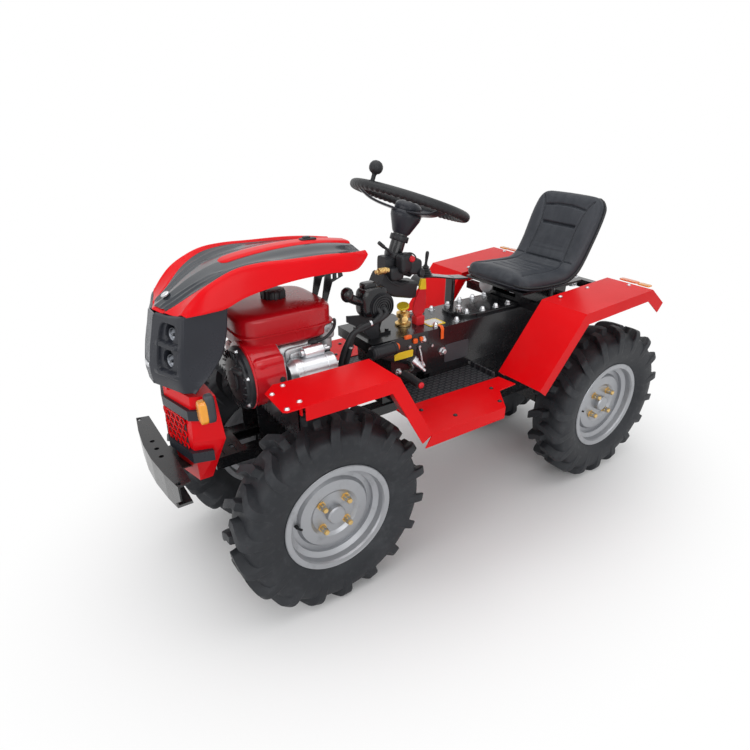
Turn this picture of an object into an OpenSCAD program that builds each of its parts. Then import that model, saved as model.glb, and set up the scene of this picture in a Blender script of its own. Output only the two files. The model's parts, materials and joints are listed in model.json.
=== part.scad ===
// Compact open-frame tractor. Millimetres, +X forward, +Y left, +Z up.
// The origin lies on the ground, under the middle of the machine.

/* [Wheels] */
// Distance between the two axles
wheelbase = 1183; // [1170:1:1195]
// Front axle, ahead of the middle of the machine
front_axle_x = 538; // [530:1:545]
// Distance between the middle planes of the left and right tyres
track = 502; // [496:1:510]
// Tyre diameter over the lugs
tyre_od = 602; // [590:1:608]
// Height of the lugs above the tread
lug_h = 24; // [18:1:26]
// Tyre width
tyre_w = 150; // [140:1:152]
// Lugs on each side of the tread
lug_count = 18; // [14:1:20]
// Diameter of the rim's bead seat
rim_d = 304.8; // [300:0.1:308]
// Radius of the wheel bearings' spindles
spindle_r = 22; // [18:1:26]
// Radial clearance of the bearings and pins
fit_gap = 0.05; // [0.02:0.01:0.1]

/* [Steering] */
// Distance between the two kingpins
kingpin_track = 380; // [376:1:384]
// Radius of a kingpin
kingpin_r = 12; // [10:0.5:13]
// Length of a steering arm, kingpin to tie rod
steer_arm = 90; // [80:1:96]
// Radius of the steering wheel's rim, to the middle of the grip
wheel_r = 169; // [155:1:180]
// Radius of the grip
grip_r = 14; // [11:0.5:16]
// Rake of the steering column from upright
column_rake = 20; // [16:1:24]
// Height of the steering wheel's centre
wheel_z = 1068.5; // [1050:0.5:1085]
// Place of the steering wheel's centre along the machine
wheel_x = 86; // [75:1:95]

/* [Chassis] */
// Outer width of the two frame rails together
rail_span = 154; // [140:1:156]
// Height of the rails' top face
rail_z = 460; // [452:1:466]
// Height of a rail
rail_h = 32; // [28:1:36]
// Outer width of the main case
case_w = 176; // [168:1:184]
// Height of the main case's top face
case_z = 686; // [680:1:692]
// Height of the main case's bottom edge
case_floor_z = 535; // [530:1:540]
// Foremost end of the main case
case_front_x = 75; // [65:1:80]
// Rearmost end of the main case
case_rear_x = -560; // [-580:1:-540]
// Thickness of the case's plates
case_t = 6; // [4:1:8]

/* [Bodywork] */
// Width over the fenders and footboards
body_w = 754; // [744:1:764]
// Thickness of the folded sheet
sheet_t = 3; // [2:0.5:4]
// Depth of the fenders' and footboards' outer flange
flange_h = 38; // [30:1:45]
// Height of the front fenders
front_fender_z = 723; // [716:1:730]
// Height of the rear fenders
rear_fender_z = 768; // [762:1:774]
// Height of the footboards
floor_z = 519; // [514:1:524]
// Thickness of the hood's shell
hood_t = 4; // [3:0.5:5]
// Half width of the hood
hood_half_w = 152; // [146:1:156]

/* [Bumper] */
// Foremost face of the bumper
bumper_x = 946; // [942:1:950]
// Depth of the bumper's top flange
bumper_d = 56; // [50:1:58]
// Height of the bumper's top face
bumper_z = 505; // [498:1:512]
// Height of the bumper
bumper_h = 80; // [70:1:86]
// Half length of the bumper
bumper_half = 205; // [198:1:212]
// Thickness of the bumper's plate
bumper_t = 5; // [4:0.5:6]
// Radius of the bumper's bolt holes
bumper_hole_r = 6.5; // [5:0.5:8]
// Distance between the bumper's two outer bolt holes
bumper_hole_gap = 90; // [80:1:100]

/* [Drawbar] */
// Radius of the drawbar's pin hole
drawbar_hole_r = 10; // [8:0.5:13]
// Thickness of the drawbar
drawbar_t = 14; // [10:1:18]
// Height of the drawbar's top face
drawbar_z = 262; // [255:1:270]

/* [Seat] */
// Width of the seat
seat_w = 312; // [300:1:320]
// Height of the cushion's front top edge
seat_z = 799; // [794:1:806]
// Front edge of the cushion
seat_front_x = -281; // [-288:1:-276]

/* [Hidden] */
$fa = 8;
$fs = 1;
tyre_r = tyre_od / 2;
rear_axle_x = front_axle_x - wheelbase;
wheel_y = track / 2;
kingpin_y = kingpin_track / 2;
body_y = body_w / 2;
case_y = case_w / 2;
rail_y = rail_span / 2;
axle_z = tyre_r;

// ---------- shared helpers ----------
// A side profile in X and Z, made solid from y0 to y1.
module side_plate(pts, y0, y1) {
    translate([0, y1, 0]) rotate([90, 0, 0]) linear_extrude(y1 - y0) polygon(pts);
}

// A front profile in Y and Z, made solid from x0 to x1.
module cross_plate(pts, x0, x1) {
    translate([x0, 0, 0]) rotate([90, 0, 90]) linear_extrude(x1 - x0) polygon(pts);
}

// A plan outline in X and Y, made solid from z0 to z1.
module flat_plate(pts, z0, z1) {
    translate([0, 0, z0]) linear_extrude(z1 - z0) polygon(pts);
}

// A block given by its lowest and highest corners.
module block(low, high) {
    translate(low) cube(high - low);
}

// A round bar between two points.
module bar(p, q, r) {
    d = q - p;
    len = norm(d);
    translate(p) rotate([0, acos(d[2] / len), atan2(d[1], d[0])]) cylinder(h = len, r = r);
}

module both_sides() {
    children();
    mirror([0, 1, 0]) children();
}

// ---------- wheels ----------
// A wheel is drawn round the Z axis with its outboard side up, then laid on its axle.
module on_axle(x, right = false) {
    mirror([0, right ? 1 : 0, 0])
        translate([x, wheel_y, axle_z]) rotate([-90, 0, 0]) children();
}

tread_r = tyre_r - lug_h;
rim_r = rim_d / 2;
seat_gap = 0.2;
half_w = tyre_w / 2;

module tyre_carcass() {
    wall = 11;
    outer = [
        [rim_r, half_w - 26], [rim_r + 16, half_w - 20], [rim_r + 45, half_w - 5],
        [rim_r + 75, half_w], [tread_r - 26, half_w - 3], [tread_r - 10, half_w - 10],
        [tread_r - 3, half_w - 30], [tread_r, 0]
    ];
    inner = [
        [tread_r - wall, 0], [tread_r - wall - 6, half_w - 32], [tread_r - wall - 22, half_w - wall - 4],
        [rim_r + 70, half_w - wall], [rim_r + 40, half_w - wall - 6], [rim_r, half_w - wall - 30]
    ];
    right_half = concat(outer, inner);
    rotate_extrude() union() {
        polygon(right_half);
        mirror([0, 1]) polygon(right_half);
    }
}

module lug_envelope() {
    rotate_extrude() polygon([
        [rim_r + 66, 0], [rim_r + 66, half_w + 1], [tread_r - 24, half_w + 1],
        [tyre_r - 22, half_w - 1], [tyre_r - 5, half_w - 12], [tyre_r, half_w - 30],
        [tyre_r, -half_w + 30], [tyre_r - 5, -half_w + 12], [tyre_r - 22, -half_w + 1],
        [tread_r - 24, -half_w - 1], [rim_r + 66, -half_w - 1]
    ]);
}

// One bar of the tread: across the middle, then swept back to the shoulder.
module lug() {
    lug_foot = rim_r + 74;
    translate([lug_foot, 0, 0]) rotate([0, 90, 0]) linear_extrude(tyre_r - lug_foot + 6)
        polygon([
            [8, -12], [-16, -12], [-half_w - 2, 22], [-half_w - 2, 54], [-20, 18], [8, 14]
        ]);
}

module tyre() {
    color("#2f3236") union() {
        tyre_carcass();
        intersection() {
            lug_envelope();
            for (i = [0 : lug_count - 1]) {
                rotate([0, 0, (i + 0.25) * 360 / lug_count]) lug();
                rotate([0, 0, (i + 0.75) * 360 / lug_count]) mirror([0, 0, 1]) lug();
            }
        }
    }
}

rim_half = half_w - 15;
disc_z = 24;
stud_ring_r = 55;
hub_r = 38;
hub_inner_z = -20;

module rim() {
    flange_r = rim_r + 14;
    seat_r = rim_r - seat_gap;
    drop_r = rim_r - 17;
    wall = 4;
    color("#b9bcc0") {
        rotate_extrude() polygon([
            [flange_r, rim_half], [flange_r, rim_half - 4], [seat_r + 3, rim_half - 5], [seat_r, rim_half - 9],
            [seat_r - 2, rim_half - 26], [drop_r, rim_half - 34], [drop_r, -rim_half + 34],
            [seat_r - 2, -rim_half + 26], [seat_r, -rim_half + 9], [seat_r + 3, -rim_half + 5],
            [flange_r, -rim_half + 4], [flange_r, -rim_half],
            [seat_r - 1, -rim_half], [seat_r - wall, -rim_half + 6], [seat_r - wall - 2, -rim_half + 24],
            [drop_r - wall, -rim_half + 32],
            [drop_r - wall, disc_z - 12], [drop_r - 22, disc_z - 10], [drop_r - 30, disc_z],
            [stud_ring_r + 22, disc_z + 2], [stud_ring_r + 14, disc_z - 6], [hub_r, disc_z - 8],
            [hub_r, hub_inner_z], [spindle_r + fit_gap, hub_inner_z], [spindle_r + fit_gap, disc_z - 4],
            [0, disc_z - 4], [0, disc_z + 22], [24, disc_z + 22], [28, disc_z + 18], [28, disc_z + 2],
            [stud_ring_r + 12, disc_z], [stud_ring_r + 22, disc_z + 7], [drop_r - 28, disc_z + 5],
            [drop_r - 20, disc_z - 5], [drop_r - wall, disc_z - 6],
            [drop_r - wall, rim_half - 32], [seat_r - wall - 2, rim_half - 24], [seat_r - wall, rim_half - 6],
            [seat_r - 1, rim_half]
        ]);
        for (i = [0 : 3])
            rotate([0, 0, 45 + i * 90]) translate([stud_ring_r, 0, disc_z - 2]) cylinder(h = 26, r = 10, $fn = 6);
    }
}

// ---------- steering ----------
boss_h = 70;
boss_r = 24;
fork_t = 18;
fork_gap = 0.5;
arm_t = 12;
arm_y = kingpin_y;
arm_x = front_axle_x - steer_arm;
arm_top = axle_z - boss_h / 2 - fork_gap - 3;
rod_pin_r = 6;
rod_eye_r = 14;
rod_eye_h = 18;
rod_r = 8;
web_y = wheel_y + hub_inner_z - 1;

// Left knuckle: a fork round the axle's boss, with the spindle and the steering arm.
module knuckle() {
    fork_z = boss_h / 2 + fork_gap;
    color("#26282b") {
        translate([front_axle_x, kingpin_y, axle_z]) {
            translate([0, 0, -fork_z - fork_t]) cylinder(h = 2 * (fork_z + fork_t), r = kingpin_r);
            for (s = [0, 1]) mirror([0, 0, s]) translate([0, 0, fork_z]) {
                cylinder(h = fork_t, r = boss_r);
                translate([-boss_r, 0, 0]) cube([2 * boss_r, web_y - kingpin_y, fork_t]);
            }
            translate([-boss_r, web_y - kingpin_y - 12, -fork_z - fork_t])
                cube([2 * boss_r, 12, 2 * (fork_z + fork_t)]);
            translate([0, web_y - kingpin_y - 2, 0]) rotate([-90, 0, 0])
                cylinder(h = wheel_y + disc_z - 5 - web_y + 2, r = spindle_r);
        }
        flat_plate([
            [front_axle_x - boss_r + 2, kingpin_y + 18], [front_axle_x - boss_r + 2, kingpin_y - 18],
            [arm_x, arm_y - 14], [arm_x - 12, arm_y - 7], [arm_x - 12, arm_y + 7], [arm_x, arm_y + 14]
        ], arm_top - arm_t, arm_top);
        translate([arm_x, arm_y, arm_top - 1]) cylinder(h = rod_eye_h + 4, r = rod_pin_r);
    }
}

module tie_rod() {
    loose = 0.5;
    rod_z = arm_top + 0.3;
    color("#8d9196") difference() {
        union() {
            for (s = [-1, 1])
                translate([arm_x, s * arm_y, rod_z]) cylinder(h = rod_eye_h, r = rod_eye_r);
            bar([arm_x, -arm_y + 10, rod_z + rod_eye_h / 2], [arm_x, arm_y - 10, rod_z + rod_eye_h / 2], rod_r);
        }
        translate([arm_x, arm_y, rod_z - 1]) cylinder(h = rod_eye_h + 2, r = rod_pin_r + fit_gap);
        translate([arm_x, -arm_y, rod_z - 1]) cylinder(h = rod_eye_h + 2, r = rod_pin_r + loose);
    }
}

beam_half = 25;
pivot_z = axle_z + 52;
pivot_r = 15;

module front_axle() {
    color("#1d1e20") difference() {
        union() {
            block([front_axle_x - beam_half, -kingpin_y + 22, axle_z - beam_half],
                  [front_axle_x + beam_half, kingpin_y - 22, axle_z + beam_half]);
            for (s = [-1, 1])
                translate([front_axle_x, s * kingpin_y, axle_z - boss_h / 2]) cylinder(h = boss_h, r = boss_r);
            cross_plate([[-56, axle_z + 20], [56, axle_z + 20], [26, pivot_z + 22], [-26, pivot_z + 22]],
                        front_axle_x - beam_half, front_axle_x + beam_half);
        }
        for (s = [-1, 1])
            translate([front_axle_x, s * kingpin_y, axle_z - boss_h]) cylinder(h = 2 * boss_h, r = kingpin_r + fit_gap);
        translate([front_axle_x - 40, 0, pivot_z]) rotate([0, 90, 0]) cylinder(h = 80, r = pivot_r + fit_gap);
    }
}
// ---------- chassis ----------
rail_front_x = 790;
rail_rear_x = case_front_x - 30;
deck_t = 4;
deck_nose_y = 66;
bed_z = 650;
bed_front_x = 650;
bed_rear_x = 414;
bed_y = 110;

module frame_rail() {
    wall = 5;
    width = 40;
    difference() {
        block([rail_rear_x, rail_y - width, rail_z - rail_h], [rail_front_x, rail_y, rail_z]);
        block([rail_rear_x - 1, rail_y - width - 1, rail_z - rail_h + wall],
              [rail_front_x + 1, rail_y - wall, rail_z - wall]);
    }
}

// Frame, engine bed, fender brackets and the supports the closed hood rests above
module chassis_frame() {
    plate = 5;
    ear_gap = 1;
    ear_x = beam_half + ear_gap + 6;
    color("#17181a") {
        both_sides() frame_rail();
        // slotted front deck
        difference() {
            block([700, -rail_y, rail_z], [rail_front_x, rail_y, rail_z + deck_t]);
            for (x = [728, 764], y = [-1, 1])
                translate([x, y * 46, rail_z - 1]) cube([12, 40, 12], center = true);
        }
        block([rail_front_x, -deck_nose_y, rail_z], [bumper_x - bumper_t - 3, deck_nose_y, rail_z + deck_t]);
        // pivot ears of the front axle
        for (s = [-1, 1])
            difference() {
                block([front_axle_x + s * ear_x - 6, -rail_y + 4, pivot_z - 24],
                      [front_axle_x + s * ear_x + 6, rail_y - 4, rail_z - rail_h]);
                for (t = [-1, 1])
                    translate([front_axle_x - 60, t * 46, pivot_z - 6]) rotate([0, 90, 0]) cylinder(h = 120, r = 22);
            }
        translate([front_axle_x - 42, 0, pivot_z]) rotate([0, 90, 0]) cylinder(h = 84, r = pivot_r);
        // engine bed on two uprights
        both_sides()
            side_plate([[bed_rear_x, rail_z], [bed_front_x, rail_z], [bed_front_x, bed_z],
                        [bed_rear_x, bed_z]], bed_y - 50, bed_y - 50 + plate);
        block([bed_rear_x, -bed_y - 50, bed_z - plate], [bed_front_x, bed_y + 60, bed_z]);
        // brackets that carry the front fenders
        both_sides()
            cross_plate([[bed_y, bed_z - plate], [bed_y + 20, bed_z - 34], [236, bed_z + 4], [body_y - 16, front_fender_z - 22],
                         [body_y - 16, front_fender_z - sheet_t], [fender_inner_y, front_fender_z - sheet_t],
                         [220, bed_z + 40], [bed_y + 40, bed_z]], bed_front_x - 12, bed_front_x - 6);
        // bulkhead behind the engine, with two slotted supports under the hood's rear end
        block([bed_rear_x - plate, -62, bed_z - plate], [bed_rear_x, 62, 800]);
        both_sides() difference() {
            side_plate([[400, 788], [bed_rear_x - plate, 788], [bed_rear_x - plate, 836], [396, 909], [345, 909],
                        [341, 893], [376, 880], [394, 830]], 26, 32);
            for (x = [358, 376]) translate([x, 29, 896]) cube([8, 20, 14], center = true);
        }
    }
}

module front_bumper() {
    half = bumper_half;
    outline = [
        [bumper_x - bumper_d, -half + 8], [bumper_x - bumper_d, half - 8], [bumper_x - 21, half],
        [bumper_x - 8, half - 80], [bumper_x, 40], [bumper_x, -40], [bumper_x - 8, -half + 80],
        [bumper_x - 21, -half]
    ];
    end_hole_y = half - 14;
    color("#1b1c1f") {
        difference() {
            flat_plate(outline, bumper_z - bumper_h, bumper_z);
            translate([-bumper_t, 0, bumper_z - bumper_h + bumper_t])
                linear_extrude(bumper_h - 2 * bumper_t) union() {
                    polygon(outline);
                    translate([-bumper_d, 0]) polygon(outline);
                    translate([bumper_x - 80, -half - 20]) square([54, 2 * half + 40]);
                }
            for (y = [-end_hole_y, -bumper_hole_gap / 2, 0, bumper_hole_gap / 2, end_hole_y])
                translate([bumper_x - 26, y, bumper_z - bumper_t - 1]) cylinder(h = bumper_t + 2, r = bumper_hole_r);
            // the lower flange's ends are cut back
            for (s = [-1, 1]) translate([bumper_x - 30, s * half, bumper_z - bumper_h])
                rotate([s * 35, 0, 0]) cube([100, 44, 60], center = true);
        }
        // brackets to the front deck
        both_sides()
            block([bumper_x - bumper_d + 4, deck_nose_y - 18, rail_z + deck_t],
                  [bumper_x - bumper_t, deck_nose_y - 8, bumper_z - bumper_t]);
    }
}

gear_rear_x = case_rear_x + 40;
gear_y = 78;

module hex_bolt(at, r, h) {
    translate(at) cylinder(h = h, r = r, $fn = 6);
}

module main_case() {
    cover = [-345, -155, 74];
    color("#16171a") {
        difference() {
            block([case_rear_x, -case_y, case_floor_z], [case_front_x, case_y, case_z]);
            block([case_rear_x + case_t, -case_y + case_t, case_floor_z - 1],
                  [case_front_x - case_t, case_y - case_t, case_z - case_t]);
        }
        // gear case below
        block([gear_rear_x, -gear_y, 330], [case_front_x - 30, gear_y, case_z - case_t]);
        both_sides() translate([-60, gear_y - 1, 430]) rotate([-90, 0, 0]) cylinder(h = 9, r = 74);
        // bolted top cover
        block([cover[0], -cover[2], case_z], [cover[1], cover[2], case_z + 9]);
        for (x = [-312, -253, -191], s = [-1, 1]) hex_bolt([x, s * 60, case_z + 9], 8, 7);
        // filler neck and breather on the front half of the top
        translate([-108, 30, case_z]) cylinder(h = 16, r = 17);
        translate([-108, 30, case_z + 16]) cylinder(h = 8, r = 12, $fn = 6);
        for (x = [-70, 20], s = [-1, 1]) hex_bolt([x, s * 66, case_z], 7, 6);
    }
}

control_y = 98;
control_front_x = 289;
control_z = 692;

module control_case() {
    color("#1a1b1e") {
        side_plate([[case_front_x, 558], [214, 558], [218, 622], [control_front_x, 660], [control_front_x, control_z],
                    [case_front_x, control_z]], -control_y, control_y);
        block([case_front_x + 20, -70, rail_z], [230, 70, 559]);
        both_sides() for (p = [[96, 580], [96, 668], [266, 676], [190, 580]])
            translate([p[0], control_y, p[1]]) rotate([-90, 0, 0]) cylinder(h = 5, r = 6.5, $fn = 6);
    }
}

module rear_axle() {
    color("#1b1c1e") difference() {
        union() {
            translate([rear_axle_x, -web_y, axle_z]) rotate([-90, 0, 0]) cylinder(h = 2 * web_y, r = 46);
            translate([rear_axle_x, -70, axle_z]) rotate([-90, 0, 0]) cylinder(h = 140, r = 105);
            for (s = [0, 1]) mirror([0, s, 0]) {
                translate([rear_axle_x, web_y - 14, axle_z]) rotate([-90, 0, 0]) cylinder(h = 14, r = 62);
                translate([rear_axle_x, web_y - 2, axle_z]) rotate([-90, 0, 0])
                    cylinder(h = wheel_y + disc_z - 5 - web_y + 2, r = spindle_r);
            }
            // neck to the gear case
            side_plate([[gear_rear_x, 332], [gear_rear_x, 470], [gear_rear_x - 18, 470], [rear_axle_x + 20, axle_z + 96],
                        [rear_axle_x, axle_z - 90], [gear_rear_x - 30, 232], [gear_rear_x, 250]], -72, 72);
            // drawbar
            block([rear_axle_x - 220, -40, drawbar_z - drawbar_t], [rear_axle_x, 40, drawbar_z]);
        }
        translate([rear_axle_x - 195, 0, drawbar_z - drawbar_t - 1]) cylinder(h = drawbar_t + 2, r = drawbar_hole_r);
    }
}

// ---------- engine ----------
crank_y = 82;
crank_z = 792;
fan_r = 111;
shroud_x = 606;
fan_x = 678;
block_x0 = 468;
block_y1 = crank_y + 45;

module engine() {
    color("#b01218") {
        // fan shroud, cut away under the tank
        difference() {
            translate([shroud_x, crank_y, crank_z]) rotate([0, 90, 0]) cylinder(h = fan_x - shroud_x, r = fan_r);
            block([shroud_x - 10, -200, tank_low_z - 3], [tank_x1 + 2, 300, 1000]);
        }
    }
    color("#8d9094") {
        block([block_x0, crank_y - 96, bed_z], [shroud_x, block_y1, tank_low_z]);
        // cylinder with its fins, on the right
        block([block_x0 + 14, -150, 690], [shroud_x - 10, crank_y, 750]);
        for (y = [-144 : 14 : -32]) block([block_x0 + 4, y, 676], [shroud_x - 2, y + 4, tank_low_z]);
        translate([bed_rear_x, crank_y - 20, 714]) rotate([0, 90, 0]) cylinder(h = block_x0 - bed_rear_x + 1, r = 14);
    }
}

// Starting cover: a round lid with cooling slots round its hub
module fan_cover() {
    lid_h = 20;
    color("#1c1d20") translate([fan_x, crank_y, crank_z]) rotate([0, 90, 0]) difference() {
        union() {
            cylinder(h = lid_h, r = fan_r - 4);
            translate([0, 0, lid_h]) cylinder(h = 8, r = fan_r - 14);
            translate([0, 0, lid_h + 8]) cylinder(h = 6, r = fan_r - 32);
            translate([0, 0, lid_h + 14]) cylinder(h = 8, r = 30);
        }
        for (i = [0 : 17]) rotate([0, 0, i * 20])
            translate([57, 0, lid_h + 12]) cube([34, 6, 14], center = true);
    }
}

tank_x0 = 420;
tank_x1 = 656;
tank_y0 = -112;
tank_y1 = 130;
tank_low_z = 766;
tank_seam_z = 804;
tank_top_z = 855;

module fuel_tank() {
    r = 26;
    module outline(inset) {
        translate([tank_x0 + inset, tank_y0 + inset])
            offset(r = r, $fn = 24) offset(delta = -r)
            square([tank_x1 - tank_x0 - 2 * inset, tank_y1 - tank_y0 - 2 * inset]);
    }
    color("#c4121c") {
        translate([0, 0, tank_low_z]) linear_extrude(tank_seam_z - tank_low_z) outline(6);
        translate([0, 0, tank_seam_z - 3]) linear_extrude(6) outline(0);
        translate([0, 0, tank_seam_z]) linear_extrude(tank_top_z - tank_seam_z - 14) outline(5);
        translate([0, 0, tank_top_z - 15]) linear_extrude(15) outline(18);
    }
    color("#191a1c") translate([540, -10, tank_top_z - 1]) cylinder(h = 24, r = 34);
}

starter_y = block_y1 + 36.3;
starter_z = 704;

module starter_motor() {
    color("#c2c5c9") {
        translate([455, starter_y, starter_z]) rotate([0, 90, 0]) {
            cylinder(h = 6, r = 28);
            translate([0, 0, 6]) cylinder(h = 96, r = 32);
            translate([0, 0, 102]) cylinder(h = 37, r = 36);
        }
        // its switch, lying along the top
        translate([478, starter_y - 8, starter_z + 44]) rotate([0, 90, 0]) cylinder(h = 74, r = 16);
    }
}

module muffler() {
    color("#3a3b3d") {
        block([478, -196, 706], [596, -150, 846]);
        translate([536, -173, 845]) cylinder(h = 20, r = 14);
    }
}

cleaner_x = 250;
cleaner_z = 803;

// Drum with raised rings, on a plate that stands on the control case
module air_cleaner() {
    rings = 4;
    pitch = 14;
    color("#141517") {
        translate([cleaner_x, 44, cleaner_z]) rotate([-90, 0, 0]) {
            cylinder(h = rings * pitch, r = 37);
            for (i = [0 : rings - 1]) translate([0, 0, i * pitch + 3]) cylinder(h = 7, r = 41);
        }
        side_plate([[236, control_z], [266, control_z], [300, 734], [347, 762], [347, 781], [262, 770], [236, 740]], 52, 58);
    }
}

// ---------- hood ----------
// Values along the hood, from its rear edge to the nose, against X.
nose_x = 862;
nose_sweep = 42;
function crown_z(x) = lookup(x, [
    [312, 980], [366, 988], [438, 994], [530, 993], [610, 986], [657, 979], [710, 966],
    [760, 946], [800, 924], [830, 906], [850, 895], [862, 888]]);
function half_width(x) = lookup(x, [
    [312, 118], [362, 144], [438, hood_half_w - 2], [545, hood_half_w], [740, hood_half_w], [790, hood_half_w - 4], [862, 132]]);
function lower_z(x) = lookup(x, [
    [312, 968], [362, 945], [445, 948], [530, 947], [590, 942], [640, 935], [690, 924], [735, 909], [780, 905], [862, 898]]);
// Height of the rounded shoulder between the dark panel and the side
function shoulder_z(x) = lookup(x, [
    [312, 972], [366, 977], [438, 983], [545, 986], [630, 988], [685, 983], [735, 968], [790, 944], [830, 918], [862, 893]]);
function hood_z(a, x) =
    let (c = crown_z(x), s = shoulder_z(x), l = lower_z(x))
    lookup(a, [[0, c], [0.35, c - 3], [0.6, (c + s) / 2 - 6], [0.78, s - 5], [0.86, s], [0.94, s - (s - l) * 0.32], [1, l]]);
function hood_point(x, s, inset) =
    let (a = abs(s), w = half_width(x) - inset * 0.9, sweep = nose_sweep * pow(max(0, (x - 650) / (nose_x - 650)), 2))
    [x - sweep * a - (x > nose_x - 1 ? inset : 0), s * w, hood_z(a, x) - inset + (a > 0.99 ? inset : 0)];

hood_stations = [312, 335, 358, 398, 438, 486, 530, 572, 617, 657, 684, 710, 736, 760, 785, 808, 826, 838, 848, 854, 858, 862];
hood_spans = [-1, -0.97, -0.92, -0.86, -0.78, -0.6, -0.35, -0.17, 0, 0.17, 0.35, 0.6, 0.78, 0.86, 0.92, 0.97, 1];

module hood_shell(stations, spans, top, bottom) {
    m = len(stations);
    n = len(spans);
    pts = concat(
        [for (x = stations, s = spans) hood_point(x, s, top)],
        [for (x = stations, s = spans) hood_point(x, s, bottom)]);
    function at(i, j, k) = k * m * n + i * n + j;
    faces = concat(
        [for (i = [0 : m - 2], j = [0 : n - 2]) each [
            [at(i, j, 0), at(i, j + 1, 0), at(i + 1, j + 1, 0)], [at(i, j, 0), at(i + 1, j + 1, 0), at(i + 1, j, 0)],
            [at(i, j, 1), at(i + 1, j + 1, 1), at(i, j + 1, 1)], [at(i, j, 1), at(i + 1, j, 1), at(i + 1, j + 1, 1)]]],
        [for (i = [0 : m - 2]) each [
            [at(i, 0, 0), at(i + 1, 0, 0), at(i + 1, 0, 1)], [at(i, 0, 0), at(i + 1, 0, 1), at(i, 0, 1)],
            [at(i, n - 1, 0), at(i + 1, n - 1, 1), at(i + 1, n - 1, 0)], [at(i, n - 1, 0), at(i, n - 1, 1), at(i + 1, n - 1, 1)]]],
        [for (j = [0 : n - 2]) each [
            [at(0, j, 0), at(0, j + 1, 1), at(0, j + 1, 0)], [at(0, j, 0), at(0, j, 1), at(0, j + 1, 1)],
            [at(m - 1, j, 0), at(m - 1, j + 1, 0), at(m - 1, j + 1, 1)], [at(m - 1, j, 0), at(m - 1, j + 1, 1), at(m - 1, j, 1)]]]);
    polyhedron(pts, faces, convexity = 6);
}

module hood() {
    color("#d01820") hood_shell(hood_stations, hood_spans, 0, hood_t);
}

module hood_panel() {
    panel = [for (s = hood_spans) if (abs(s) < 0.8) s];
    color("#33373b") hood_shell([for (x = hood_stations) if (x < 856) x], panel, -1.5, -0.2);
}

// ---------- nose ----------
nose_pivot = [868, 702];
nose_pin_r = 5;
nose_low_z = 704;
nose_top_z = 881.6;
nose_tip_half = 22;
nose_corner = [824, 127];

// Straight-sided skin through a stack of outlines with as many points each.
module loft(rings) {
    n = len(rings[0]);
    m = len(rings);
    faces = concat(
        [[for (j = [0 : n - 1]) j]],
        [for (i = [0 : m - 2], j = [0 : n - 1]) let (k = (j + 1) % n) each [
            [i * n + j, (i + 1) * n + j, (i + 1) * n + k], [i * n + j, (i + 1) * n + k, i * n + k]]],
        [[for (j = [n - 1 : -1 : 0]) (m - 1) * n + j]]);
    polyhedron([for (r = rings) each r], faces, convexity = 6);
}

// Height, foremost edge at the grille and rear edge of a bezel, from the bottom up
bezel_slices = [[nose_low_z, 893, 820], [735, 897, 806], [786, 890, 766], [nose_top_z, 864, 724]];
bezel_wall = 4;
bezel_side_y = 141;

// Outline of a bezel at one height; w is how far it lies inside the outer face.
function bezel_ring(slice, w, drop) =
    let (z = slice[0] + drop, front = slice[1], back = slice[2], lean = (front - 864) * 0.7)
    [[back - w * 12, nose_tip_half + w * 0.6, z], [front - w, nose_tip_half + w * 0.6, z],
     [nose_corner[0] + 6 + lean - w, nose_corner[1] - 7 - w * 0.6, z],
     [nose_corner[0] - 6 + lean * 0.8 - w * 0.6, nose_corner[1] + 3 - w, z],
     [back - w * 12, bezel_side_y - w, z]];

lamp_spots = [[846, 80, 850], [863, 80, 786]];
lamp_r = 23;
lamp_turn = 24;

// Ear and pin of the hood's hinge
module hood_hinge_ear() {
    ear_r = 9;
    translate([nose_pivot[0], 43, nose_pivot[1]]) rotate([-90, 0, 0]) cylinder(h = 6, r = ear_r);
    side_plate([[nose_pivot[0] - ear_r + 1, nose_pivot[1]], [nose_pivot[0] + ear_r - 1, nose_pivot[1]],
                [nose_pivot[0] + 16, nose_pivot[1] + 26], [nose_pivot[0] + 2, nose_pivot[1] + 26]], 43, 49);
    translate([nose_pivot[0], 34, nose_pivot[1]]) rotate([-90, 0, 0]) cylinder(h = 12, r = nose_pin_r);
}

module nose_bezel() {
    top = len(bezel_slices) - 1;
    color("#3a3c42") both_sides() {
        hood_hinge_ear();
        difference() {
            loft([for (q = bezel_slices) bezel_ring(q, 0, 0)]);
            loft([for (i = [0 : top]) bezel_ring(bezel_slices[i], bezel_wall, i == 0 ? -5 : (i == top ? 5 : 0))]);
            for (p = lamp_spots)
                translate(p) rotate([0, 90, lamp_turn]) translate([0, 0, -30]) cylinder(h = 60, r = lamp_r + 0.3);
        }
    }
}

// Two stacked lamps a side, each a dish with a lens
module headlamps() {
    dish = 12;
    color("#20242c") both_sides()
        for (p = lamp_spots) translate(p) rotate([0, 90, lamp_turn]) translate([0, 0, 1 - dish]) {
            cylinder(h = dish - 4, r = lamp_r - 5);
            translate([0, 0, dish - 5]) cylinder(h = 5, r = lamp_r);
        }
}

module nose_grille() {
    mesh_t = 4;
    front = [[866, nose_top_z], [891, 786], [898, 738], [896, nose_low_z]];
    color("#8e9196") side_plate(
        concat(front, [for (i = [len(front) - 1 : -1 : 0]) front[i] - [mesh_t, 0]]), -nose_tip_half, nose_tip_half);
}

// ---------- lower grille ----------
lower_top_z = 690;
lower_bottom_z = 425;

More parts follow.
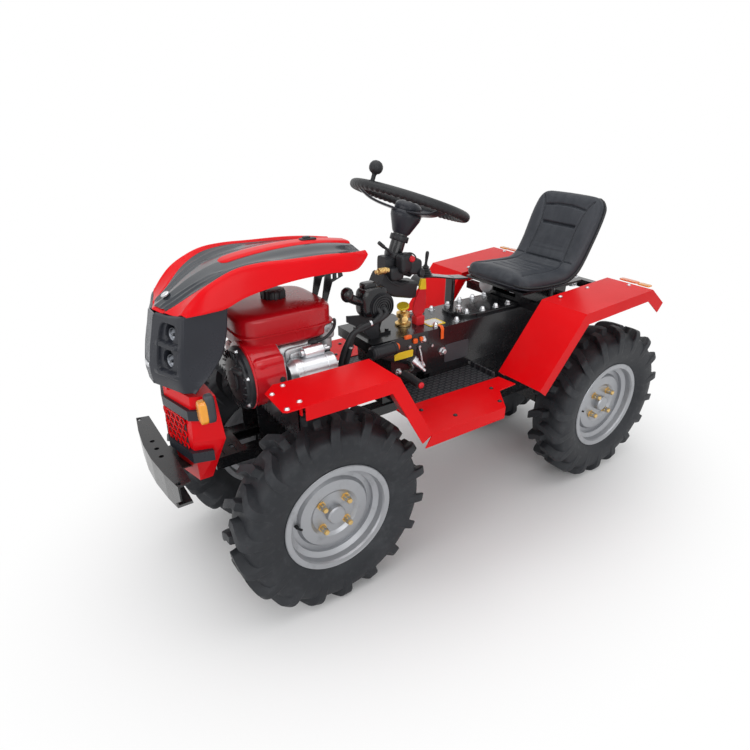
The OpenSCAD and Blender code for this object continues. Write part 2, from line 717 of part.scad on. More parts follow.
module lower_form(inset) {
    function plan(front, corner_x, corner_y, back_x, back_y) = [
        [back_x, -back_y + inset], [corner_x - inset * 0.5, -corner_y + inset], [front - inset, 0],
        [corner_x - inset * 0.5, corner_y - inset], [back_x, back_y - inset]];
    skin = 0.5;
    hull() {
        flat_plate(plan(872, 841, 121, 784, 146), lower_top_z - skin - inset, lower_top_z - inset);
        flat_plate(plan(877, 850, 118, 772, 142), 560, 560 + skin);
    }
    hull() {
        flat_plate(plan(877, 850, 118, 772, 142), 560, 560 + skin);
        flat_plate(plan(866, 843, 92, 808, 92), lower_bottom_z, lower_bottom_z + skin);
    }
}

module lower_grille() {
    color("#c8161e") difference() {
        lower_form(0);
        translate([-4, 0, 0]) lower_form(3.5);
        // slot for the frame's front deck
        block([760, -rail_y - 3, rail_z - rail_h - 4], [rail_front_x + 2, rail_y + 3, rail_z + deck_t + 0.2]);
        block([760, -deck_nose_y - 3, rail_z - 2], [900, deck_nose_y + 3, rail_z + deck_t + 0.2]);
        // round and six-sided holes between the bars
        for (z = [552, 578, 604], y = [-75 : 25 : 75])
            translate([820, y, z]) rotate([0, 90, 0]) cylinder(h = 80, r = 8, $fn = 6);
        for (y = [-63, -38, 38, 63]) translate([820, y, 490]) rotate([0, 90, 0]) cylinder(h = 80, r = 8, $fn = 6);
    }
    color("#17181a") both_sides() difference() {
        block([nose_pivot[0] - 12, 34, lower_top_z - 4], [nose_pivot[0] + 5, 42, nose_pivot[1] + 8]);
        translate([nose_pivot[0], 33, nose_pivot[1]]) rotate([-90, 0, 0]) cylinder(h = 10, r = nose_pin_r + fit_gap);
    }
}

module grille_bar(z0, z1, front, corner_x, rear) {
    corner_y = 124;
    t = 15;
    color("#2a2c2f") difference() {
        flat_plate([[rear[0], -rear[1]], [corner_x, -corner_y], [front, 0], [corner_x, corner_y], rear,
                    [rear[0], rear[1] - t], [corner_x - t, corner_y - t], [front - 18, 0],
                    [corner_x - t, t - corner_y], [rear[0], t - rear[1]]], z0, z1);
        lower_form(0);
    }
}

module grille_bars() {
    grille_bar(628, 656, 881, 853, [812, 150]);
    grille_bar(503, 533, 884, 858, [806, 138]);
}

module turn_lamps() {
    color("#e8920c") both_sides() {
        block([796, 150.5, 628], [830, 158, 698]);
        block([800, 158, 632], [826, 172, 694]);
    }
}

// ---------- fenders and footboards ----------
function unit(v) = v / norm(v);
function left_of(d) = [-d[1], d[0]];
// The line p moved t to the left of its own direction, with mitred corners.
function moved_line(p, t) = [for (i = [0 : len(p) - 1])
    let (a = i > 0 ? unit(p[i] - p[i - 1]) : unit(p[1] - p[0]),
         b = i < len(p) - 1 ? unit(p[i + 1] - p[i]) : unit(p[i] - p[i - 1]),
         n = unit(left_of(a) + left_of(b)))
    p[i] + n * t / (n * left_of(a))];
function band(p, t) = let (q = moved_line(p, t)) concat(p, [for (i = [len(q) - 1 : -1 : 0]) q[i]]);

board_front_x = 273;
front_fender_line = [[652, front_fender_z], [388, front_fender_z], [board_front_x, floor_z]];
fender_inner_y = 234;

module front_fender() {
    color("#d3141c") {
        side_plate(band(front_fender_line, sheet_t), fender_inner_y, body_y);
        side_plate(band(front_fender_line, flange_h), body_y - sheet_t, body_y);
        flat_plate([[650, fender_inner_y], [666, fender_inner_y - 2], [702, fender_inner_y + 32],
                    [706, body_y - 8], [698, body_y], [650, body_y]], front_fender_z - sheet_t, front_fender_z);
    }
    // toothed bracket under the front edge
    color("#17181a") difference() {
        block([bed_front_x - 4, fender_inner_y + 6, front_fender_z - 40], [bed_front_x, body_y - 30, front_fender_z - sheet_t]);
        for (y = [fender_inner_y + 24 : 24 : body_y - 40])
            translate([bed_front_x - 2, y, front_fender_z - 36]) rotate([45, 0, 0]) cube([12, 12, 12], center = true);
    }
}

rear_fender_line = [[-155, 528], [-324, rear_fender_z - 20], [-662, rear_fender_z], [-743, rear_fender_z - 60]];
rear_inner_y = 197;

module rear_fender() {
    color("#d3141c") {
        side_plate(band(rear_fender_line, sheet_t), rear_inner_y, body_y);
        side_plate(band(rear_fender_line, flange_h), body_y - sheet_t, body_y);
        side_plate(band(rear_fender_line, flange_h), rear_inner_y, rear_inner_y + sheet_t);
    }
}

board_outline = [[board_front_x, body_y], [-8, body_y], [-73, 286], [-150, 281], [-142, 212], [board_front_x, 205]];

module footboard() {
    color("#d3141c") {
        flat_plate(board_outline, floor_z - sheet_t, floor_z);
        side_plate([[board_front_x, floor_z], [-8, floor_z], [-8, floor_z - flange_h],
                    [board_front_x + 22, floor_z - flange_h]], body_y - sheet_t, body_y);
        // rounded front flange
        flat_plate([[-8, body_y - sheet_t], [-8, body_y], [-73, 286], [-75, 283]], floor_z - flange_h + 8, floor_z);
    }
}

// Black plates between the case and the footboards, with their brackets under them
module floor_plates() {
    plate = 4;
    z = floor_z - sheet_t;
    color("#26282b") both_sides() {
        flat_plate([[214, gear_y], [214, 240], [-136, 240], [-136, gear_y]], z - plate, z);
        for (p = [[-110, gear_y + 8], [110, 70], [184, 70]])
            block([p[0], p[1], z - plate - 34], [p[0] + 26, 232, z - plate]);
        block([-136, case_y, z], [-128, 200, z + 16]);
    }
}

// ---------- seat ----------
seat_base_z = 758;

module seat() {
    half = seat_w / 2;
    color("#2b2e33") intersection() {
        side_plate([[seat_front_x - 4, seat_base_z], [seat_front_x, seat_z - 14], [seat_front_x - 20, seat_z],
                    [-490, seat_z - 5], [-532, 812], [-560, 852], [-634, 996], [-648, 1024], [-664, 1034], [-684, 1030],
                    [-698, 1004], [-650, 830], [-626, 776], [-590, seat_base_z]], -half, half);
        union() {
            translate([0, 0, 700]) linear_extrude(150)
                polygon([[seat_front_x, -half + 36], [seat_front_x - 16, -half + 14], [seat_front_x - 70, -half],
                         [-700, -half + 2], [-700, half - 2], [seat_front_x - 70, half],
                         [seat_front_x - 16, half - 14], [seat_front_x, half - 36]]);
            cross_plate([[-half + 2, 849], [half - 2, 849], [half - 6, 960], [half - 12, 1008], [122, 1028], [60, 1035],
                         [-60, 1035], [-122, 1028], [12 - half, 1008], [6 - half, 960]], -720, -500);
        }
    }
}

// Pan, posts, cross members to the fenders and the bar behind the seat
module seat_frame() {
    color("#1b1c1f") {
        block([-600, -140, seat_base_z - 8], [seat_front_x - 12, 140, seat_base_z - 0.3]);
        both_sides() block([-590, 56, case_z], [-350, 82, seat_base_z - 8]);
        for (x = [-380, -550]) block([x, -rear_inner_y, case_z], [x + 30, rear_inner_y, case_z + 26]);
        block([-700, -rear_inner_y, 704], [-672, rear_inner_y, 732]);
        block([-690, -40, 700], [case_rear_x, 40, 706]);
        block([case_rear_x - 6, -40, 640], [case_rear_x, 40, 706]);
    }
    color("#9a9da1") both_sides() translate([-470, 110, case_z + 26]) cylinder(h = seat_base_z - case_z - 34, r = 14);
}

// ---------- steering column and controls ----------
column_r = 22;
shaft_r = 10;
hub_drop = 58;

// Draws along the column: Z runs up it, and the origin is the steering wheel's centre.
module on_column() {
    translate([wheel_x, 0, wheel_z]) rotate([0, -column_rake, 0]) children();
}

column_foot_x = wheel_x + (wheel_z - control_z) * tan(column_rake);

module steering_column() {
    column_len = 430;
    color("#1d1e21") difference() {
        union() {
            on_column() translate([0, 0, -column_len]) cylinder(h = column_len - hub_drop - 6, r = column_r);
            block([column_foot_x - 40, -46, control_z], [column_foot_x + 40, 46, control_z + 8]);
            for (s = [-1, 1], t = [-1, 1]) hex_bolt([column_foot_x + s * 31, t * 36, control_z + 8], 7, 6);
        }
        on_column() translate([0, 0, -200]) cylinder(h = 200, r = shaft_r + fit_gap);
        block([0, -80, control_z - 200], [500, 80, control_z]);
    }
}

module steering_wheel() {
    spoke_drop = 34;
    knob_at = 10;
    color("#222428") on_column() {
        rotate_extrude() translate([wheel_r, 0]) circle(r = grip_r);
        for (a = [90, 210, 330]) rotate([0, 0, a])
            bar([0, 0, -spoke_drop], [wheel_r, 0, 0], 9);
        translate([0, 0, -hub_drop]) cylinder(h = hub_drop - 12, r = 36);
        translate([0, 0, -180]) cylinder(h = 140, r = shaft_r);
        rotate([0, 0, knob_at]) translate([wheel_r, 0, 8]) {
            cylinder(h = 30, r = 7);
            translate([0, 0, 38]) sphere(r = 18);
        }
    }
}

module dash_box() {
    color("#1a1b1d") difference() {
        union() {
            side_plate([[69, 848], [82, 787], [168, 808], [243, 844], [235, 879]], -40, 40);
            side_plate([[70, 884], [66, 846], [200, 866], [183, 933], [104, 925]], -32, 32);
        }
        on_column() translate([0, 0, -500]) cylinder(h = 500, r = column_r + 0.3);
    }
}

gear_lever = [-31, -60];
hand_lever = [59, 20];

module levers() {
    smooth = 48;
    color("#1a1b1d") {
        // gear lever, its boot and the bracket it stands on
        side_plate([[-192, 784], [-5, 811], [-5, 819], [-192, 792]], -86, -36);
        block([-150, -80, case_z], [-138, -40, 795]);
        block([-24, -70, case_z], [-14, -50, 811]);
        for (i = [0 : 4])
            translate([gear_lever[0], gear_lever[1], 812 + i * 8]) cylinder(h = 8, r = 21 - i * 3, $fn = smooth);
        bar([gear_lever[0], gear_lever[1], 850], [gear_lever[0] - 5, gear_lever[1], 876], 5, $fn = smooth);
        translate([gear_lever[0] - 6, gear_lever[1], 884]) sphere(r = 13, $fn = smooth);
    }
    color("#c8161e") {
        block([hand_lever[0] - 20, hand_lever[1] - 14, case_z], [hand_lever[0] + 14, hand_lever[1] + 14, case_z + 20]);
        bar([hand_lever[0], hand_lever[1], case_z + 12], [hand_lever[0] - 23, hand_lever[1], 830], 9, $fn = smooth);
    }
}

module brake_pedal() {
    pedal_y = [158, 222];
    color("#2e3034") {
        side_plate([[142, 592], [214, 606], [212, 618], [140, 604]], pedal_y[0], pedal_y[1]);
        bar([178, control_y, 600], [178, 170, 600], 8);
    }
}

// ---------- the assembly ----------
chassis_frame();
front_bumper();
front_axle();
knuckle();  // knuckle_left
mirror([0, 1, 0]) knuckle();  // knuckle_right
tie_rod();
rear_axle();
main_case();
control_case();
on_axle(front_axle_x) tyre();  // tyre_front_left
on_axle(front_axle_x, true) tyre();  // tyre_front_right
on_axle(rear_axle_x) tyre();  // tyre_rear_left
on_axle(rear_axle_x, true) tyre();  // tyre_rear_right
on_axle(front_axle_x) rim();  // rim_front_left
on_axle(front_axle_x, true) rim();  // rim_front_right
on_axle(rear_axle_x) rim();  // rim_rear_left
on_axle(rear_axle_x, true) rim();  // rim_rear_right
engine();
fan_cover();
fuel_tank();
starter_motor();
muffler();
air_cleaner();
hood();
hood_panel();
nose_bezel();
headlamps();
nose_grille();
lower_grille();
grille_bars();
turn_lamps();
front_fender();  // fender_front_left
mirror([0, 1, 0]) front_fender();  // fender_front_right
rear_fender();  // fender_rear_left
mirror([0, 1, 0]) rear_fender();  // fender_rear_right
footboard();  // footboard_left
mirror([0, 1, 0]) footboard();  // footboard_right
floor_plates();
seat();
seat_frame();
steering_column();
steering_wheel();
dash_box();
levers();
brake_pedal();
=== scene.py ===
# %% [markdown]
# A compact tractor, dressed over its finished engineering model.
# The wheels, frame, hood and levers arrive as a fixed frame of solids; this
# lesson gives them their finishes and adds the forms that solids leave out.

# %% Load the frame
import json
import math
import bpy
import bmesh
import numpy as np
from mathutils import Matrix


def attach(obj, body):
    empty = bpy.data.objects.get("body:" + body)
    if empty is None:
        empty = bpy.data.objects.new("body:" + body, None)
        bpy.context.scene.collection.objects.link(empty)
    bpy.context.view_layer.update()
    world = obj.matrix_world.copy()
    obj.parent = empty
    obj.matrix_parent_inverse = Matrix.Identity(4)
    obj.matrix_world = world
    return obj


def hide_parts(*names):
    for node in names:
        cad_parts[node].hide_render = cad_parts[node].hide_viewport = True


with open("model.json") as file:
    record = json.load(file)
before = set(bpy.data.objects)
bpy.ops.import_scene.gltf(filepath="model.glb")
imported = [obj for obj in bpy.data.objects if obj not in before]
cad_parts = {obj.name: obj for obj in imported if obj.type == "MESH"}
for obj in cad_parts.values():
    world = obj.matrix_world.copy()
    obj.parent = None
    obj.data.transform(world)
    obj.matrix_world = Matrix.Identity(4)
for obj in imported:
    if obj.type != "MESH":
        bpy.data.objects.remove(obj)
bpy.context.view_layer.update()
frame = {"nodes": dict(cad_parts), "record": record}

record = frame["record"]
mm = 0.001
home_of = {node: body for body, nodes in record["behaviour"]["bodies"].items() for node in nodes}

# %% [markdown]
# Two small functions serve many forms below: one scales vectors to length 1,
# the other gives the outline of a superellipse, which runs from round to square.

# %% Unit vectors and superellipses
def unit(rows):
    """Rows scaled to length 1."""
    rows = np.asarray(rows, float)
    return rows / np.linalg.norm(rows, axis=-1, keepdims=True)


def swell(power, *parts):
    """How far a direction reaches to a superellipse: (|a|^p + |b|^p + ...)^(-1/p)."""
    return sum(np.abs(part) ** power for part in parts) ** (-1 / power)


print("corner reach of a round and a squarish outline:", [round(float(swell(p, 0.707, 0.707)), 2) for p in (2, 5)])

# %% [markdown]
# The camera stands ahead of the left front wheel and looks down on the machine.
# Its three axes are written out, so that the view is exact rather than tracked.

# %% Camera
lens_px, view_px = 562.14, 750.0
eye = np.array([1.1405, 1.38828, 1.33105])
right_axis = np.array([-0.82953, 0.55846, -0.00105])
up_axis = np.array([-0.26856, -0.39727, 0.87753])
back_axis = np.cross(right_axis, up_axis)
camera = bpy.data.objects.new("camera", bpy.data.cameras.new("camera"))
bpy.context.scene.collection.objects.link(camera)
turn = np.eye(4)
turn[:3, 0], turn[:3, 1], turn[:3, 2], turn[:3, 3] = right_axis, up_axis, back_axis, eye
camera.matrix_world = Matrix(turn.tolist())
camera.data.sensor_width = 36.0
camera.data.lens = 36.0 * lens_px / view_px
camera.data.shift_x = -0.0016
camera.data.shift_y = 0.0418
camera.data.clip_end = 200.0
bpy.context.scene.camera = camera
print("lens", round(camera.data.lens, 2), "mm at", eye.round(3))

# %% [markdown]
# Shader maths reads best as plain sums. A small class wraps one socket, and an
# expression on its values adds the Math nodes; a finish is then a few lines.

# %% Shader expressions
class Wire:
    """One node output; + - * / and ** build Math nodes behind it."""

    def __init__(self, paint, socket):
        self.paint, self.socket = paint, socket

    def _sum(self, kind, a, b):
        return self.paint.wire("ShaderNodeMath", {"operation": kind}, {0: a, 1: b})

    def __add__(self, other): return self._sum("ADD", self, other)
    def __radd__(self, other): return self._sum("ADD", other, self)
    def __sub__(self, other): return self._sum("SUBTRACT", self, other)
    def __rsub__(self, other): return self._sum("SUBTRACT", other, self)
    def __mul__(self, other): return self._sum("MULTIPLY", self, other)
    def __rmul__(self, other): return self._sum("MULTIPLY", other, self)
    def __truediv__(self, other): return self._sum("DIVIDE", self, other)
    def __pow__(self, other): return self._sum("POWER", self, other)

    def size(self): return self.paint.wire("ShaderNodeMath", {"operation": "ABSOLUTE"}, {0: self})
    def least(self, other): return self._sum("MINIMUM", self, other)
    def most(self, other): return self._sum("MAXIMUM", self, other)
    def wave(self): return self.paint.wire("ShaderNodeMath", {"operation": "SINE"}, {0: self})

    def rise(self, low, high):
        """0 below low, 1 above high, smooth between."""
        return self.paint.wire("ShaderNodeMapRange", {"interpolation_type": "SMOOTHSTEP"}, {0: self, 1: low, 2: high})


class Paint:
    """A material under construction; wire() adds any node and returns its output."""

    def __init__(self, name, colour, rough, metal=0.0, **fixed):
        self.material = bpy.data.materials.new(name)
        self.material.use_nodes = True
        self.tree = self.material.node_tree
        self.shader = next(n for n in self.tree.nodes if n.type == "BSDF_PRINCIPLED")
        self.set("Base Color", (*colour, 1.0))
        self.set("Roughness", rough)
        self.set("Metallic", metal)
        self.set("Specular IOR Level", 0.28 if metal < 0.5 else 0.5)
        for key, value in fixed.items():
            self.set(key.replace("_", " "), value)

    def set(self, name, value):
        socket = self.shader.inputs[name]
        if isinstance(value, Wire):
            self.tree.links.new(value.socket, socket)
        else:
            socket.default_value = value

    def node(self, kind, settings, sockets):
        made = self.tree.nodes.new(kind)
        for key, value in settings.items():
            if key == "stops":
                ramp = made.color_ramp
                for spot, (at, shade) in enumerate(value):
                    stop = ramp.elements[spot] if spot < 2 else ramp.elements.new(at)
                    stop.position, stop.color = at, (*shade, 1.0)
            else:
                setattr(made, key, value)
        for key, value in sockets.items():
            if isinstance(value, Wire):
                self.tree.links.new(value.socket, made.inputs[key])
            else:
                made.inputs[key].default_value = value
        return made

    def wire(self, kind, settings=None, sockets=None, out=0):
        return Wire(self, self.node(kind, settings or {}, sockets or {}).outputs[out])

    def place(self, scale=(1, 1, 1), turn=(0, 0, 0)):
        spot = self.wire("ShaderNodeTexCoord", out="Object")
        return self.wire("ShaderNodeMapping", {}, {"Vector": spot, "Scale": scale, "Rotation": turn})

    def axes(self):
        spot = self.node("ShaderNodeSeparateXYZ", {}, {0: self.wire("ShaderNodeTexCoord", out="Object")})
        return [Wire(self, spot.outputs[i]) for i in range(3)]

    def noise(self, scale, detail=4.0, at=None, rough=0.55):
        return self.wire("ShaderNodeTexNoise", {}, {"Vector": at or self.place(), "Scale": scale, "Detail": detail,
                                                    "Roughness": rough})

    def cells(self, scale, at=None, kind="F1"):
        return self.wire("ShaderNodeTexVoronoi", {"feature": kind}, {"Vector": at or self.place(), "Scale": scale})

    def blend(self, share, first, second):
        pick = lambda c: c if isinstance(c, Wire) else (*c, 1.0)
        return self.wire("ShaderNodeMix", {"data_type": "RGBA"}, {0: share, 6: pick(first), 7: pick(second)}, out=2)

    def bump(self, height, depth, strength=1.0):
        self.set("Normal", self.wire("ShaderNodeBump", {}, {"Height": height, "Distance": depth,
                                                            "Strength": strength}))


print("shader expressions ready")

# %% [markdown]
# Powder coat on folded sheet is glossy, with a faint orange peel, and it dulls
# a little where hands and feet rub. Moulded shells have a softer grain.

# %% Painted and moulded finishes
def coated(name, colour, rough=0.3, peel=420.0, peel_depth=0.00008, coat=0.3, dust=(0.32, 0.27, 0.22), soil=0.10,
           shine=0.28):
    """Paint: colour drifts with a slow noise, roughness with a faster one, and fine peel in the bump."""
    p = Paint(name, colour, rough, Coat_Roughness=0.12, Specular_IOR_Level=shine)
    drift = p.noise(3.5).rise(0.3, 0.75)
    deep = tuple(c * 0.82 for c in colour)
    x, y, z = p.axes()
    film = p.noise(38.0, 6.0).rise(0.45, 0.8) * (1.0 - z.rise(0.25, 0.75)) * soil
    p.set("Base Color", p.blend(film, p.blend(drift * 0.6, colour, deep), dust))
    p.set("Roughness", rough + drift * 0.07 + film * 1.2 + p.noise(90.0, 3.0).rise(0.55, 0.8) * 0.05)
    p.set("Coat Weight", coat * (1.0 - film * 3.0))
    p.bump(p.noise(peel, 2.0) + p.noise(60.0, 2.0) * 0.8, peel_depth)
    return p.material


def moulded(name, colour, rough=0.5, grain=900.0, depth=0.00012):
    """Moulded plastic: leather-like cells in the bump and a slow change of gloss."""
    p = Paint(name, colour, rough)
    drift = p.noise(6.0).rise(0.3, 0.7)
    p.set("Base Color", p.blend(drift * 0.5, colour, tuple(c * 1.35 + 0.004 for c in colour)))
    p.set("Roughness", rough - 0.08 * drift + 0.05 * p.noise(150.0))
    p.bump(p.cells(grain) + p.noise(grain * 0.5, 3.0) * 0.5, depth)
    return p.material


finish = {
    "red_sheet": coated("red_sheet", (0.78, 0.001, 0.004), 0.30, coat=0.05, soil=0.05, shine=0.12),
    "red_shell": coated("red_shell", (0.78, 0.001, 0.006), 0.28, peel=260.0, peel_depth=0.00005, coat=0.06, soil=0.02,
                        shine=0.14),
    "dark_shell": coated("dark_shell", (0.036, 0.042, 0.050), 0.20, peel=300.0, peel_depth=0.00004, coat=0.30,
                         soil=0.03),
    "dark_plastic": moulded("dark_plastic", (0.018, 0.020, 0.027), 0.31),
    "black_frame": coated("black_frame", (0.0105, 0.011, 0.013), 0.23, peel=520.0, peel_depth=0.00005, coat=0.35,
                          soil=0.10),
    "cover_black": moulded("cover_black", (0.016, 0.017, 0.020), 0.40, grain=700.0),
    "exhaust": coated("exhaust", (0.06, 0.056, 0.052), 0.62, coat=0.0, soil=0.3),
    "grip": moulded("grip", (0.017, 0.018, 0.020), 0.46, grain=1100.0, depth=0.0001),
}
print("painted finishes:", ", ".join(finish))

# %% [markdown]
# Bare metal needs a direction: rolled and turned parts are streaked, castings
# are pebbled. The silver wheel paint sits between paint and metal.

# %% Metal finishes
def worn_metal(name, colour, rough=0.3, streak=(40, 40, 400), pebble=0.0, metal=1.0):
    """Metal: streaks from a stretched noise, small stains, and a pebbled bump for castings."""
    p = Paint(name, colour, rough, metal)
    lines = p.noise(1.0, 5.0, at=p.place(streak))
    stain = p.noise(26.0, 5.0).rise(0.52, 0.78)
    p.set("Base Color", p.blend(stain * 0.45, colour, tuple(c * 0.55 for c in colour)))
    p.set("Roughness", rough + lines * 0.16 + stain * 0.15)
    p.bump(lines * (1.0 - pebble) + p.noise(420.0, 4.0) * pebble, 0.00012 + 0.0003 * pebble)
    return p.material


finish["bright_metal"] = worn_metal("bright_metal", (0.62, 0.63, 0.65), 0.26)
finish["cast_metal"] = worn_metal("cast_metal", (0.42, 0.43, 0.44), 0.46, pebble=0.9)
finish["brass"] = worn_metal("brass", (0.72, 0.50, 0.20), 0.32)
finish["rim"] = worn_metal("rim", (0.38, 0.39, 0.41), 0.30, streak=(30, 30, 30), metal=0.6)
finish["reflector"] = worn_metal("reflector", (0.17, 0.18, 0.20), 0.25)


def engine_coat():
    """Red enamel on the fan housing ahead of x = 0.606 m, cast metal on the block behind it."""
    p = Paint("red_engine", (0.5, 0.005, 0.012), 0.3, Coat_Roughness=0.1)
    x, y, z = p.axes()
    cast = 1.0 - x.rise(0.6035, 0.605)
    stain = p.noise(30.0, 5.0).rise(0.45, 0.8)
    p.set("Base Color", p.blend(cast, p.blend(stain * 0.5, (0.55, 0.006, 0.013), (0.38, 0.004, 0.008)),
                                p.blend(stain, (0.40, 0.41, 0.42), (0.22, 0.22, 0.23))))
    p.set("Metallic", cast)
    p.set("Roughness", 0.28 + cast * 0.2 + stain * 0.12)
    p.set("Coat Weight", 0.4 * (1.0 - cast))
    p.bump(p.noise(330.0, 4.0), 0.00018)
    return p.material


finish["red_engine"] = engine_coat()
finish["tank_red"] = coated("tank_red", (0.46, 0.004, 0.010), 0.26, coat=0.25, soil=0.03)
print("metal finishes ready")

# %% [markdown]
# Tyres are a soft grey-black, paler where dust and mould release sit.

# %% Rubber, vinyl, lenses and plate
def rubber(name):
    """Tyre rubber: dust in slow patches, fine pores, faint concentric scuffs."""
    p = Paint(name, (0.030, 0.032, 0.036), 0.62)
    dust = p.noise(9.0, 7.0).rise(0.42, 0.75)
    scuff = p.noise(55.0, 5.0).rise(0.5, 0.72)
    p.set("Base Color", p.blend(dust * 0.55 + scuff * 0.18, (0.020, 0.022, 0.026), (0.062, 0.065, 0.071)))
    p.set("Roughness", 0.52 + dust * 0.2 - scuff * 0.06)
    p.bump(p.noise(700.0, 3.0) * 0.6 + p.cells(240.0) * 0.4, 0.0003)
    return p.material


def vinyl(name):
    """Seat vinyl: a pebbled leather grain over slow stretch wrinkles."""
    p = Paint(name, (0.030, 0.034, 0.042), 0.44)
    pebble = p.cells(520.0, kind="SMOOTH_F1")
    wrinkle = p.noise(14.0, 3.0, at=p.place((1, 2.5, 1)))
    p.set("Base Color", p.blend(wrinkle.rise(0.35, 0.7) * 0.5, (0.028, 0.032, 0.040), (0.052, 0.057, 0.067)))
    p.set("Roughness", 0.40 + pebble * 0.16)
    p.bump(pebble * 0.5 + wrinkle * 1.2, 0.0006, 0.6)
    return p.material


def checker_plate(name):
    """Tread plate: raised lens-shaped bars, turned by a quarter from one to the next."""
    p = Paint(name, (0.020, 0.021, 0.024), 0.42, Coat_Roughness=0.2)
    x, y, z = p.axes()
    pitch = 0.028
    a, b = (x + y) * (math.pi / pitch), (x - y) * (math.pi / pitch)
    bars = ((a.wave() ** 2.0) * (b.wave() * b.wave())).rise(0.30, 0.55)
    lean = ((a * 2.0).wave() * (b * 2.0).wave()).rise(0.05, 0.5)
    raised = (bars * 0.5 + lean).least(1.0)
    worn = raised * (0.55 + 0.45 * p.noise(40.0, 4.0).rise(0.45, 0.75))
    p.set("Base Color", p.blend(worn * 0.6, (0.014, 0.015, 0.018), (0.16, 0.16, 0.17)))
    p.set("Roughness", 0.46 - worn * 0.16)
    p.bump(raised, 0.0030)
    return p.material


def lens(name, colour, rib=0.004, rough=0.12, across=1):
    """Lamp lens: straight prism ribs with painted highlights along their crests, and a glossy coat over a saturated
    colour.
    """
    p = Paint(name, colour, rough, Coat_Weight=0.8, Coat_Roughness=0.05)
    ribs = (p.axes()[across] * (2 * math.pi / rib)).wave()
    # painted highlight: the colour turns paler along each rib's crest, standing in for the glints of the prisms
    p.set("Base Color", p.blend(ribs.rise(-0.6, 0.9) * 0.5, colour, tuple(min(1.0, c * 1.5 + 0.02) for c in colour)))
    p.set("Roughness", rough + p.noise(60.0) * 0.08)
    p.bump(ribs, 0.0006)
    return p.material


def wire_mesh(name):
    """Grey wire cloth: bright wires on a slant, with the holes between painted near-black as shade."""
    p = Paint(name, (0.3, 0.31, 0.33), 0.4, 0.6)
    x, y, z = p.axes()
    pitch = 0.0055
    one, two = ((y + z) * (math.pi / pitch)).wave().size(), ((y - z) * (math.pi / pitch)).wave().size()
    hole = one.least(two).rise(0.35, 0.6)
    # painted shade: the holes are coloured near-black for the shade seen through the cloth
    p.set("Base Color", p.blend(hole, (0.33, 0.34, 0.36), (0.012, 0.012, 0.014)))
    p.set("Metallic", 0.7 * (1.0 - hole))
    p.set("Roughness", 0.38 + hole * 0.4 + p.noise(80.0) * 0.06)
    p.bump(1.0 - hole, 0.0012)
    return p.material


finish.update({
    "tyre": rubber("tyre"), "seat_vinyl": vinyl("seat_vinyl"), "checker_plate": checker_plate("checker_plate"),
    "amber": lens("amber", (0.90, 0.30, 0.01)), "mesh": wire_mesh("mesh"),
    "lamp_glass": lens("lamp_glass", (0.045, 0.05, 0.06), 0.006, 0.08),
    "warm_reflector": lens("warm_reflector", (0.85, 0.16, 0.02), 0.005, 0.2),
    "yellow_plastic": moulded("yellow_plastic", (0.82, 0.60, 0.03), 0.38),
    "red_plastic": moulded("red_plastic", (0.62, 0.02, 0.03), 0.36),
    "lamp_housing": moulded("lamp_housing", (0.05, 0.055, 0.062), 0.4),
    "plate_white": moulded("plate_white", (0.78, 0.79, 0.77), 0.4, grain=400.0, depth=0.00003),
    "orange_plastic": moulded("orange_plastic", (0.85, 0.13, 0.02), 0.4),
})
for part in record["subparts"]:
    solid = frame["nodes"][part["node"]]
    for held in solid.material_slots:
        held.material = finish[part["material_slot"]]
print("finishes on", len(record["subparts"]), "solids;", len(finish), "finishes in all")

# %% [markdown]
# The studio is a pale floor that runs out into white, one wide light above and
# two softer ones at the sides. Rays that leave the scene meet plain white.

